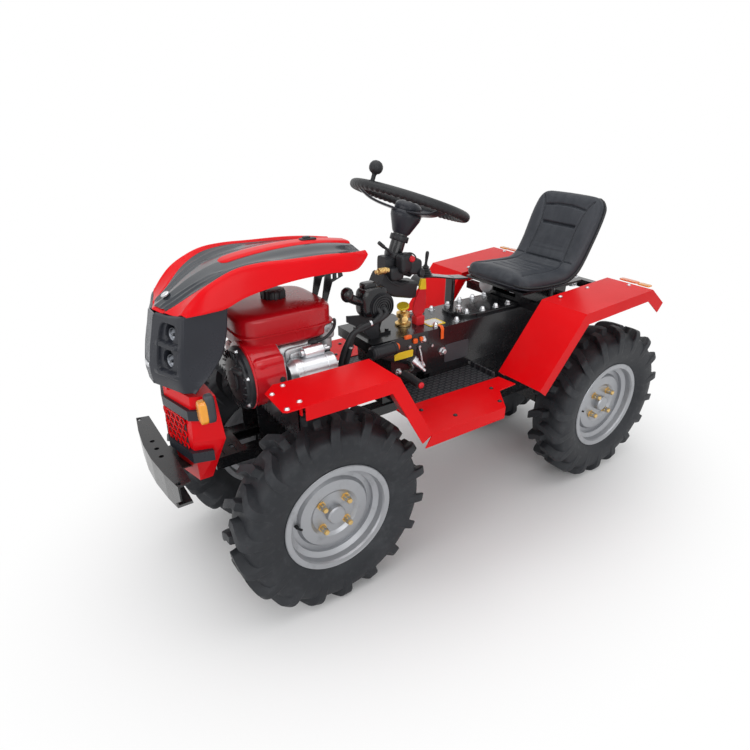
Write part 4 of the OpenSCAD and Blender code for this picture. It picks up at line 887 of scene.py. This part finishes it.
carb = [rounded_block((446, 96, 776), (46, 52, 46), 5.0),
        turned([(0, 0), (19, 0), (19, 30), (15, 36), (0, 38)], (446, 100, 756), (0, 0, -1), 36),
        pin(6, 8, (446, 122, 782), (0, 1, 0), 6)]
piece("carburettor", carb, "cast_metal", crease=40)
print("engine details:", 6 + len(cover_screws) + len(carb))

# %% [markdown]
# The steering wheel is a soft-grip ring with finger waves on its underside,
# three flat spokes that drop to a cone-shaped hub, and a spinner knob.

# %% Steering wheel
grip_r, drop = 169, 34
wheel_at, wheel_axis = np.array([86.0, 0.0, 1068.5]), np.array([-math.sin(math.radians(20)), 0,
                                                                math.cos(math.radians(20))])
wheel_x = np.array([math.cos(math.radians(20)), 0, math.sin(math.radians(20))])
wheel_y_dir = np.array([0, 1.0, 0])


def wheel_point(r, deg, h):
    """Polar place on the wheel: centre + r cos, r sin in its plane + h along its axis."""
    a = np.radians(deg)
    return wheel_at + np.multiply.outer(r * np.cos(a), wheel_x) + np.multiply.outer(r * np.sin(a), wheel_y_dir) \
        + np.multiply.outer(h + 0 * a, wheel_axis)


def grip_ring():
    """A torus r = R + q cos b, h = q sin b, whose lower half swells and falls 60 times round."""
    a, b = np.meshgrid(np.linspace(0, 360, 480, endpoint=False), np.linspace(0, 2 * np.pi, 30, endpoint=False),
                       indexing="ij")
    q = 14.0 + 1.0 * np.clip(-np.sin(b), 0, 1) * np.sin(np.radians(a) * 60)
    return wheel_point(grip_r + q * np.cos(b), a, q * np.sin(b) * 0.94), grid_faces(480, 30, True, True)


def spoke(deg):
    """A flat bar whose width and drop follow its length from the ring down to the hub."""
    t = np.linspace(0, 1, 30)
    r, h = grip_r - 3 - 140 * t, -drop * flow(t, [0, 0.35, 1], [0.05, 0.7, 1.0])
    half = flow(t, [0, 0.2, 0.7, 1], [17, 15, 22, 32])
    v = np.linspace(0, 2 * np.pi, 20, endpoint=False)
    off = np.sign(np.cos(v)) * np.abs(np.cos(v)) ** 0.4
    up = np.sign(np.sin(v)) * np.abs(np.sin(v)) ** 0.6 * 3.6
    a = np.radians(deg)
    centre = wheel_point(r, np.full_like(r, deg), h)
    sideways = -math.sin(a) * wheel_x + math.cos(a) * wheel_y_dir
    grid = centre[:, None, :] + (half[:, None] * off)[..., None] * sideways + up[None, :, None] * wheel_axis
    return grid, grid_faces(30, 20, wrap_cols=True)


hub = turned([(0, -34), (30, -34), (38, -31), (41, -24), (40, -14), (34, -7), (22, -3), (0, -2)], wheel_at,
             wheel_axis, 64)
hub_cone = turned([(0, -96), (24, -96), (28, -90), (45, -50), (47, -38), (42, -31), (0, -31)],
                  wheel_at, wheel_axis, 48)
knob_at = wheel_point(np.array([grip_r]), np.array([10.0]), np.array([8.0]))[0]
knob = turned([(0, -2), (10, -2), (10, 4), (6, 6), (6, 20), (8, 23), (14, 26), (18, 32), (19.3, 39), (18, 46),
               (13, 53), (6, 56.5), (0, 57)],
              knob_at, wheel_axis, 40)
piece("steering_grip", [grip_ring(), knob], "grip", stands_for="steering_wheel", crease=40)
piece("steering_spokes", [spoke(90), spoke(210), spoke(330), hub, hub_cone], "dark_plastic", body="steering_wheel",
      crease=45)
trim = turned([(0, -3.4), (14, -3.2), (15, -1.6), (13, -0.8), (0, -0.2)], wheel_at, wheel_axis, 48)
piece("hub_cap", [trim], "dark_plastic", body="steering_wheel")
print("steering wheel ready")

# %% [markdown]
# The seat is one padded shell, bent from cushion to back. A loft along its
# bend gives the slim body; a short cloth run with air pressure swells it
# between its pinned seams, and the seams and sewn channels are pressed in after.

# %% Seat loft
seat_line = np.array([[-283, 783], [-345, 777], [-400, 774], [-460, 773], [-512, 778], [-552, 800], [-580, 842],
                      [-605, 895],
                      [-630, 952], [-654, 1002], [-668, 1028]], float)
seat_s = np.concatenate([[0], np.cumsum(np.hypot(*np.diff(seat_line, axis=0).T))])
seat_long = seat_s[-1]
bend_s = seat_s[5]


def seat_bend(s):
    """Centre line point and its upward normal at arc length s."""
    x, z = flow(s, seat_s, seat_line[:, 0]), flow(s, seat_s, seat_line[:, 1])
    dx, dz = np.gradient(x, s), np.gradient(z, s)
    size = np.hypot(dx, dz)
    return x, z, dz / size, -dx / size


def seat_half_width(s):
    return flow(s, [0, 40, 150, bend_s - 20, bend_s + 60, seat_long - 60, seat_long],
                [140, 150, 153, 146, 146, 146, 134])


def close(d, reach):
    """0 at an end, 1 from `reach` on: a quarter of |x|^2.6 + |y|^2.6 = 1."""
    return np.clip(1 - np.clip(1 - d / reach, 0, 1) ** 2.6, 0.0004, 1) ** (1 / 2.6)


def padded_form(grow, thick, rows=90, cols=72, dip=1.0):
    """Superellipse rings along the bend; both ends round off, and the bolsters rise beyond |y| = 95."""
    s = np.linspace(0, seat_long, rows)
    x, z, nx, nz = seat_bend(s)
    ends = close(s, 42) * close(seat_long - s, 46)
    a = np.linspace(0, 2 * np.pi, cols, endpoint=False)
    cy, cn = np.cos(a), np.sin(a)
    reach = swell(3.4, cy, cn)
    y = (seat_half_width(s) + grow)[:, None] * (0.55 + 0.45 * ends)[:, None] * cy * reach
    y = np.where(ends[:, None] < 0.03, y * 0.6, y)
    off = thick * np.minimum(1, 1.35 * ends)[:, None] * (cn * reach)[None, :]
    bolster = 13.0 * dip * np.clip((np.abs(y) - 72) / 46, 0, 1) ** 1.5 * np.clip(cn, 0, 1)[None, :] * ends[:, None]
    off = off + bolster
    grid = np.stack([x[:, None] + nx[:, None] * off, y, z[:, None] + nz[:, None] * off], -1)
    first, last = grid[:1].mean(1, keepdims=True), grid[-1:].mean(1, keepdims=True)
    grid = np.concatenate([np.broadcast_to(first, (1, cols, 3)), grid, np.broadcast_to(last, (1, cols, 3))])
    return grid, grid_faces(rows + 2, cols, wrap_cols=True)


cushion = piece("seat_cushion", [padded_form(-2, 25)], "seat_vinyl", stands_for="seat", crease=60)
print("seat loft:", round(seat_long), "mm along its bend")

# %% [markdown]
# Cloth needs even faces, so the loft is remeshed first. Points on a seam are
# pinned; the others may move at most 9 mm.

# %% Swell the cushion
def seat_places(co):
    """Arc length, sideways place and height over the centre line of points in mm."""
    fine = np.linspace(0, seat_long, 400)
    x, z, nx, nz = seat_bend(fine)
    away = (co[:, None, 0] - x) ** 2 + (co[:, None, 2] - z) ** 2
    near = away.argmin(1)
    return fine[near], co[:, 1], (co[:, 0] - x[near]) * nx[near] + (co[:, 2] - z[near]) * nz[near]


def seams(s, y):
    """Depth of every seam and channel: two bolster lines, a top line, a back groove, cross ribs on the cushion."""
    line = lambda d, w: np.exp(-(d / w) ** 2)
    side_y = flow(s, [0, 40, bend_s - 30, bend_s + 10, seat_long - 52, seat_long - 18], [122, 112, 96, 88, 96, 118])
    side = line(np.abs(y) - side_y, 3.2) * np.clip((s - 18) / 14, 0, 1) * np.clip((seat_long - 22 - s) / 8, 0, 1)
    inside = np.clip((side_y - np.abs(y)) / 5, 0, 1)
    top = line(s - (seat_long - 50 - 10 * (y / 95) ** 2), 3.2) * inside
    groove = line(s - (seat_long - 118), 4.2) * np.clip((76 - np.abs(y)) / 5, 0, 1)
    waist = line(s - (bend_s + 2), 3.4) * np.clip((132 - np.abs(y)) / 6, 0, 1)
    cross_ribs = sum(line(s - at, 2.8) for at in (70, 108, 146, 184)) * np.clip((74 - np.abs(y)) / 5, 0, 1)
    return np.maximum.reduce([side, top, 1.5 * groove, 0.8 * waist, 0.55 * cross_ribs])


def baked(obj, moves):
    """The mesh that the modifiers make, kept as the object's own."""
    shape = bpy.data.meshes.new_from_object(obj.evaluated_get(bpy.context.evaluated_depsgraph_get()))
    for mod in list(obj.modifiers):
        obj.modifiers.remove(mod)
    if moves is not None:
        shape.vertices.foreach_set("co", moves.ravel())
    shape.materials.clear()
    shape.materials.append(finish["seat_vinyl"])
    obj.data = shape
    return shape


def points_of(mesh):
    co = np.zeros(len(mesh.vertices) * 3)
    mesh.vertices.foreach_get("co", co)
    return co.reshape(-1, 3)


remesh = cushion.modifiers.new("even", "REMESH")
voxel, most_swell = 0.0045, 0.009
remesh.mode, remesh.voxel_size = "VOXEL", voxel
rest = points_of(baked(cushion, None))
s_at, y_at, h_at = seat_places(rest / mm)
held_group = cushion.vertex_groups.new(name="pin")
held = np.flatnonzero(((seams(s_at, y_at) > 0.55) & (h_at > 8)) | (h_at < -6))
held_group.add(held.tolist(), 1.0, "REPLACE")
cloth = cushion.modifiers.new("air", "CLOTH")
cloth.settings.quality = 5
cloth.settings.use_pressure = True
cloth.settings.uniform_pressure_force = 4.0
cloth.settings.vertex_group_mass = "pin"
cloth.settings.effector_weights.gravity = 0
cloth.point_cache.frame_start, cloth.point_cache.frame_end = 1, 20
for step in range(1, 21):
    bpy.context.scene.frame_set(step)
shaped = cushion.evaluated_get(bpy.context.evaluated_depsgraph_get())
moved = points_of(shaped.data) - rest
size = np.linalg.norm(moved, axis=1)
moved *= np.minimum(1, most_swell / np.maximum(size, 1e-9))[:, None]
cushion.modifiers.remove(cloth)
cushion.vertex_groups.clear()
cushion.data.vertices.foreach_set("co", (rest + moved).ravel())
bpy.context.scene.frame_set(1)
print("swelled by up to", round(float(size.max() * 1000), 1), "mm")
smooth = cushion.modifiers.new("fine", "SUBSURF")
smooth.levels = smooth.render_levels = 1
fine = points_of(baked(cushion, None))
s_at, y_at, h_at = seat_places(fine / mm)
_, _, nx, nz = seat_bend(np.linspace(0, seat_long, 400))
near = np.clip((s_at / seat_long * 399).astype(int), 0, 399)
press = 6.5 * np.minimum(seams(s_at, y_at), 1.5) * np.clip((h_at - 4) / 8, 0, 1)
fine -= (press[:, None] * np.stack([nx[near], 0 * near, nz[near]], 1)) * mm
cushion.data.vertices.foreach_set("co", fine.ravel())
cushion.data.polygons.foreach_set("use_smooth", np.ones(len(cushion.data.polygons), bool))
cushion.data.update()
print("cushion:", len(cushion.data.polygons), "faces")

# %% [markdown]
# A hard shell carries the cushion from below; a rolled welt hides the joint.
# Under it come the slide rails, two coil springs and a disc.

# %% Seat shell, welt and undercarriage
def seat_edge(grow, drop, steps=160):
    """The widest line of the padded form: along one side, over the back's top and down the other."""
    s = np.linspace(6, seat_long - 4, steps // 2)
    x, z, nx, nz = seat_bend(s)
    w = (seat_half_width(s) + grow) * (0.55 + 0.45 * close(s, 42) * close(seat_long - s, 46))
    left = np.stack([x - nx * drop, w, z - nz * drop], 1)
    return np.concatenate([left, (left * [1, -1, 1])[::-1]])


back_shell, shell_faces = padded_form(1, 7, dip=0.0)
s_ring = np.concatenate([[0], np.linspace(0, seat_long, 90), [seat_long]])
_, _, nx, nz = seat_bend(s_ring[1:-1])
nx, nz = np.concatenate([nx[:1], nx, nx[-1:]]), np.concatenate([nz[:1], nz, nz[-1:]])
back_shell = back_shell - 13.0 * np.stack([nx, 0 * nx, nz], 1)[:, None, :]
piece("seat_shell", [(back_shell, shell_faces)], "dark_plastic", crease=60)
piece("seat_welt", [along(seat_edge(0, 5), 3.4, 12, closed=True)], "grip")
spring = lambda x, y: along(np.stack([x + 15 * np.cos(t), y + 15 * np.sin(t), 714 + (t / t[-1]) * 34], 1), 2.6, 10)
t = np.linspace(0, 2 * np.pi * 4.5, 130)
under = [spring(-640, 70), spring(-640, -70)]
piece("seat_springs", under, "bright_metal")
rails = [rounded_block((-430, side * 74, 745), (250, 22, 9), 9.0) for side in (1, -1)]
disc = [turned([(0, 0), (24, 0), (26, 1.5), (26, 5), (22, 7), (0, 7)], (-312, -52, 738), (0.9, 0.3, 0.1), 48)]
piece("seat_rails", rails + disc, "cast_metal", crease=30)
print("seat ready")

# %% [markdown]
# Straps, plates and handles are bars of flat section carried along a bend.
# The gear lever has a bellows boot; the hand lever is a broad paddle.

# %% Levers
def strap(path, across, half, thick, power=9.0, sides=28):
    """A flat bar along a path: ring = superellipse of half-width along `across` and half-thickness square to it."""
    path = np.asarray(path, float)
    across = unit(across)
    over = unit(np.cross(np.gradient(path, axis=0), across))
    a = np.linspace(0, 2 * np.pi, sides, endpoint=False)
    reach = swell(power, np.cos(a), np.sin(a))
    wide = np.broadcast_to(np.asarray(half, float), (len(path),))[:, None, None]
    grid = path[:, None, :] + wide * (np.cos(a) * reach)[None, :, None] * across \
        + thick / 2 * (np.sin(a) * reach)[None, :, None] * over[:, None, :]
    grid = capped(grid, path)
    return grid, grid_faces(len(grid), sides, wrap_cols=True)


def slab(outline, z0, z1, edge=2.0):
    """A plate with a softened upper edge: its outline at four heights, drawn in at the top, and a lid."""
    outline = np.asarray(outline, float)
    mid = outline.mean(0)
    away = outline - mid
    inward = unit(away)
    rows = [(0 * away + mid, z0), (outline, z0), (outline, z1 - edge),
            (outline - inward * edge * 0.4, z1 - edge * 0.3),
            (outline - inward * edge, z1), (0 * away + mid, z1)]
    grid = np.stack([np.concatenate([xy, np.full((len(xy), 1), z)], 1) for xy, z in rows])
    return grid, grid_faces(len(rows), len(outline), wrap_cols=True)


arch = bent([(-200, -58, 784), (-150, -60, 790), (-90, -61, 803), (-40, -61, 813), (-8, -61, 815), (6, -61, 806),
             (10, -61, 790)], 50)
posts = [rounded_block((-144, -60, 740), (12, 40, 110), 8.0), rounded_block((-19, -60, 750), (10, 20, 128), 8.0)]
piece("lever_bracket", [strap(arch, (0, 1, 0), 25, 6)] + posts, "black_frame", stands_for="levers", crease=40)
climb = np.linspace(0, 1, 60)
folds = list(zip(24 - 16 * climb + 2.2 * np.sin(climb * 2 * np.pi * 5), 813 + 36 * climb))
boot = turned([(0, 812)] + folds + [(0, 849)], (-31, -60, 0), (0, 0, 1), 48)
handle = turned([(0, 0), (5.5, 0), (4.2, 14), (5.4, 26), (6.2, 38), (5.6, 45), (3.0, 48.5), (0, 49)],
                (-31, -60, 846), (-0.12, 0, 1), 28)
piece("gear_boot", [boot, handle], "grip", crease=60)
slant = (0.94, 0.3, 0.2)
paddle = strap([(57, 20, 716), (56, 20, 730), (53, 20, 752), (48, 20, 778), (44, 20, 800), (43.5, 20, 803)], slant,
               [20, 33, 34, 27, 18, 17], 7)
foot = rounded_block((56, 20, 701), (36, 30, 34), 6.0)
piece("hand_paddle", [paddle, foot], "red_plastic", crease=50)
tip = strap([(43.5, 20, 801), (43.5, 20, 812), (43, 20, 824), (42, 20, 834)], slant, [17.5, 16.5, 14, 12], 9)
piece("paddle_tip", [tip], "yellow_plastic", crease=50)
print("levers ready")

# %% [markdown]
# The brake pedal is a rubber roller on a bent arm. Round it the casing carries
# bright acorn nuts, a cover plate with a round front, plugs and blank plates.

# %% Pedal, casing fittings and plates
waves = [(13.5 - 0.7 * (k % 2), 6 + k * 4) for k in range(1, 19)]
roller = turned([(0, 0), (11, 0), (13.5, 2), (13.5, 5), (12.6, 6)] + waves + [(13.5, 86), (0, 86)],
                (218, 166, 606), (0.05, 1, 0), 36)
piece("pedal_roller", [roller], "grip", stands_for="brake_pedal", crease=30)
end_cap = turned([(0, 0), (8, 0), (9, 2), (9, 5), (6, 7), (0, 7.5)], (222, 252, 606), (0.05, 1, 0), 36)
piece("pedal_end", [end_cap], "red_plastic")
arm = along(bent([(150, 98, 600), (160, 130, 598), (186, 150, 600), (210, 160, 606), (219, 176, 606)], 30), 6.5, 14)
piece("pedal_arm", [arm], "black_frame")

acorn = [(0, 0), (12, 0), (12, 1.6), (9.2, 2), (9.2, 7), (7.6, 8), (7.0, 11), (4.4, 13.6), (0, 14.4)]
nuts = [turned(acorn, (x, side * 60, 697.5), (0, 0, 1), 6) for x in (-312, -253, -191) for side in (1, -1)]
nuts += [turned(acorn, (x, side * 48, 697.5), (0, 0, 1), 6) for x in (-128,) for side in (1, -1)]
nuts += [turned(acorn, (x, side * 66, 686), (0, 0, 1), 6) for x in (-70, 20) for side in (1, -1)]
nuts += [turned(acorn, (x, side * 98, z), (0, side, 0), 6)
         for x, z in ((96, 580), (96, 668), (266, 676), (190, 580)) for side in (1, -1)]
nuts += [turned([(0, 0), (15, 0), (15, 2), (10, 2.5), (10, 12), (7, 15), (0, 15.5)], (4, side * 88, 603),
                (0, side, 0), 6) for side in (1, -1)]
stack = [(0, 0), (15, 0), (15, 6), (11, 7), (11, 16), (13, 16.5), (13, 20), (8, 21), (8, 27), (5, 29), (0, 30)]
nuts += [turned(stack, (-108, 30, 695), (0, 0, 1), 24), turned(stack, (-20, -66, 686), (0, 0, 1), 6)]
piece("casing_nuts", nuts, "bright_metal", crease=25)
turn = np.linspace(-np.pi / 2, np.pi / 2, 30)
front_round = np.stack([-150 + 66 * np.cos(turn), 70 * np.sin(turn)], 1)
back_edge = [[-200, 72], [-300, 72], [-344, 70], [-346, 0], [-344, -70], [-300, -72], [-200, -72]]
outline = np.concatenate([front_round, back_edge])
piece("casing_cover", [slab(outline, 686, 697.5, 2.5)], "black_frame", crease=25)
fitting_axis = np.array([-0.62, 0.36, -0.70])
fitting = turned([(0, -6), (17, -6), (17, 8), (13, 10), (13, 22), (9, 24), (9, 40), (6.5, 42), (6.5, 54), (0, 55)],
                 (134, 100, 606), fitting_axis, 40)
rod = along(bent([(112, 100, 648), (110, 108, 630), (106, 112, 600), (102, 114, 575)], 20), 2.4, 10)
rod_heads = [pin(5, 7, at, (0, 1, 0), 6) for at in ((112, 99, 648), (60, 98, 640), (150, 98, 656))]
piece("casing_fitting", [fitting, rod] + rod_heads, "bright_metal", crease=30)
can = [(0, 0), (16, 0), (20, 3), (20, 8), (21.2, 9), (21.2, 13), (20, 14), (20, 74), (21.2, 75), (21.2, 79)]
can += [(20, 80), (20, 86), (14, 90), (0, 90)]
piece("side_drum", [turned(can, (214, 117, 674), (1, 0, 0), 48)], "cover_black", crease=30)
plugs = [turned([(0, 0), (13, 0), (14, 2), (14, 8), (9, 10), (0, 10)], (205, 99, 668), (0, 1, 0.1), 32),
         rounded_block((158, 102, 690), (26, 12, 12), 4.0), rounded_block((128, 101, 670), (16, 10, 16), 4.0),
         rounded_block((104, 101, 672), (12, 10, 14), 4.0)]
hook = bent([(12, 70, 689), (12, 84, 690), (12, 91, 684), (11, 91.5, 664), (10, 91.5, 648)], 24)
hang = strap(hook, (1, 0, 0), 6, 2.4)
piece("orange_plugs", plugs + [hang], "orange_plastic", crease=50)


def plate(centre, size, normal, thick=1.4):
    """A thin blank plate with round corners, lying on a top (z) or a left side (y)."""
    wide, high = size
    box_size = (wide, high, thick) if normal == "z" else (wide, thick, high)
    return rounded_block(centre, box_size, 12.0, 20, 56)


piece("blank_yellow_plates", [plate((170, 99.2, 632), (72, 24), "y"), plate((6, 36, 687), (66, 58), "z")],
      "yellow_plastic", crease=50)
piece("blank_white_plate", [plate((8, 36, 688.2), (54, 44), "z")], "plate_white", crease=50)
piece("blank_dark_plate", [plate((-58, 88.8, 590), (104, 64), "y")], "lamp_housing", crease=50)
print("casing:", len(nuts), "nuts")

# %% [markdown]
# The air unit is a faceted black box with a finned cover and a bulb on a short
# neck. Two moulded rubber pipes run from it to the engine, held at both ends.

# %% Air unit and pipes
hull = [rounded_block((266, 66, 816), (92, 56, 88), 4.5), rounded_block((276, 60, 862), (46, 34, 20), 4.0)]
fins = [turned([(r - 2.2, 0), (r - 1.4, 10), (r + 1.4, 10), (r + 2.2, 0), (r - 2.2, 0)],
               (250, 93, 803), (0.06, 1, 0), 64) for r in (6, 13, 20, 27, 34)]
bulb = turned([(0, -2), (10, 0), (15, 5), (18, 13), (18, 24), (15, 32), (8, 38), (0, 39)], (362, 88, 838),
              (0.1, 0.1, 1), 40)
neck = along(bent([(356, 84, 846), (338, 80, 836), (318, 74, 826), (296, 70, 820)], 24), 13, 20)
piece("air_unit", hull + fins + [bulb, neck], "black_frame", crease=35)
pipe = lambda d: along(bent([(246 + d, 96, 800), (244 + d, 108, 786), (262 + d, 112, 775),
                             (300 + d, 113, 768 - d * 0.5), (342 + d, 112, 759 - d * 0.5),
                             (362 + d, 110, 738 - d), (368 + d, 104, 700), (376 + d, 92, 650)], 70), 8.0, 20)
piece("moulded_pipes", [pipe(0), pipe(19)], "grip")
clips = [band(8.2, 9.6, 6, (366, 106, 712), (0.1, -0.15, -1), 28),
         band(8.2, 9.6, 6, (300, 113, 768), (1, 0, -0.15), 28)]
piece("pipe_clips", clips, "bright_metal", crease=30)
print("air unit ready")

# %% [markdown]
# Round the column: switch pods with a red button, a stalk, a coiled brass
# spring on its bolt, clamps on the tube, and a brass tap with a yellow wheel.

# %% Column and dash fittings
column = lambda d: wheel_at - wheel_axis * d
wedge = [strap([(76, 0, 806), (92, 0, 808), (150, 0, 822), (196, 0, 846), (208, 0, 852)], (0, 1, 0),
               [33, 36, 36, 35, 32], 54, 6.0),
         strap([(80, 0, 872), (100, 0, 880), (140, 0, 888), (176, 0, 892), (188, 0, 892)], (0, 1, 0),
               [22, 26, 26, 25, 22], 58, 5.0)]
clamp = [turned([(0, 0), (27, 0), (28.5, 2), (28.5, 16), (27, 18), (0, 18)], column(d), wheel_axis, 48)
         for d in (118, 170)]
pods = [rounded_block((134, 42, 902), (52, 34, 58), 4.5, turn=0.25),
        rounded_block((96, 40, 886), (44, 36, 46), 4.5, turn=-0.2),
        rounded_block((160, 34, 872), (50, 26, 40), 5.0), rounded_block((120, -34, 905), (56, 28, 50), 5.0),
        turned([(0, 0), (11, 0), (13, 3), (13, 12), (10, 15), (0, 15)], (84, 52, 866), (-0.3, 0.9, 0.2), 28)]
stalk = along(bent([(172, 30, 930), (186, 32, 944), (203, 32, 957), (219, 32, 970)], 20), [4.0] * 12 + [5.4] * 8, 14)
small = [along(bent(path, 26), 2.2, 10) for path in (
    [(204, 40, 878), (196, 56, 860), (176, 58, 846), (150, 52, 838), (118, 46, 842)],
    [(150, 50, 925), (130, 58, 934), (104, 54, 922), (92, 48, 900)],
    [(220, 30, 858), (238, 40, 836), (236, 48, 806), (222, 44, 780)])]
piece("switch_pods", wedge + clamp + pods + [stalk], "cover_black", stands_for="dash_box", crease=40)
piece("switch_leads", small, "grip")
button = turned([(0, 0), (9, 0), (10, 1.5), (10, 6), (8, 8.5), (0, 9.5)], (116, 54, 912), (0.1, 0.75, 0.65), 36)
piece("red_button", [button], "red_plastic", crease=40)
t = np.linspace(0, 2 * np.pi * 6, 160)
coil = along(np.stack([206 + 28 * t / t[-1], 50 + 8 * np.cos(t), 892 + 8 * np.sin(t)], 1), 1.7, 8)
bolt = turned([(0, -6), (7, -6), (7, 0), (3.6, 0), (3.6, 34), (6, 34), (6, 39), (0, 40)],
              (203, 50, 892), (1, 0, 0), 12)
tap = [turned([(0, 0), (26, 0), (26, 6), (17, 9), (15, 22), (22, 26), (22, 40), (12, 46), (10, 58), (0, 58)],
              (108, 8, 693), (0, 0, 1), 36),
       turned([(0, 0), (8, 0), (8, 26), (10, 26), (10, 32), (0, 33)], (112, 20, 722), (0.5, 0.8, 0.1), 6)]
piece("brass_fittings", [coil, bolt] + tap, "brass", crease=30)
wheel_rim = turned([(0, 0), (17, 0), (20, 2), (20, 6), (17, 8), (13, 6), (0, 6)],
                   (112, 12, 752), (0.25, 0.25, 0.93), 40)
piece("tap_wheel", [wheel_rim], "yellow_plastic", crease=35)
shaft = turned([(0, -100), (12, -100), (12, -58), (0, -58)], wheel_at, wheel_axis, 32)
piece("steering_shaft", [shaft], "black_frame", body="steering_wheel", crease=30)
print("column fittings ready")

# %% [markdown]
# Lights and fasteners on the sheet metal: amber lamps in dark housings,
# two-colour reflector strips at the back, and small domed bolts.

# %% Lamps, reflectors and bolts
for name, look, blocks in (
        ("turn_housings", "lamp_housing", [((806, 161, 668), (24, 26, 76))]),
        ("turn_lenses", "amber", [((824, 160, 662), (24, 27, 62))]),
        ("red_reflectors", "warm_reflector", [((-683, 272, 771), (24, 72, 6))]),
        ("amber_reflectors", "amber", [((-683, 331, 770), (24, 46, 6))])):
    both = [rounded_block((x, side * y, z), size, 5.0) for (x, y, z), size in blocks for side in (1, -1)]
    piece(name, both, look, stands_for="turn_lamps" if name == "turn_lenses" else None, crease=50)
button_head = [(0, 0), (7, 0), (7, 1), (5.6, 1.4), (5.1, 3.4), (3.2, 4.6), (0, 5)]
tops = [(649, 252, 723), (690, 280, 723), (653, 348, 723), (693, 366, 723), (-644, 297, 767), (-380, 225, 754),
        (-520, 222, 760)]
heads = [turned(button_head, (x, side * y, z), (0, 0, 1), 20) for x, y, z in tops for side in (1, -1)]
piece("fender_bolts", heads, "bright_metal", crease=35)
dark = [turned(button_head, (x, side * y, 519), (0, 0, 1), 20) for x,
        y in ((214, 250), (150, 330), (-20, 340), (-60, 262)) for side in (1, -1)]
piece("footboard_bolts", dark, "black_frame", crease=35)
print("bolts:", len(heads) + len(dark))
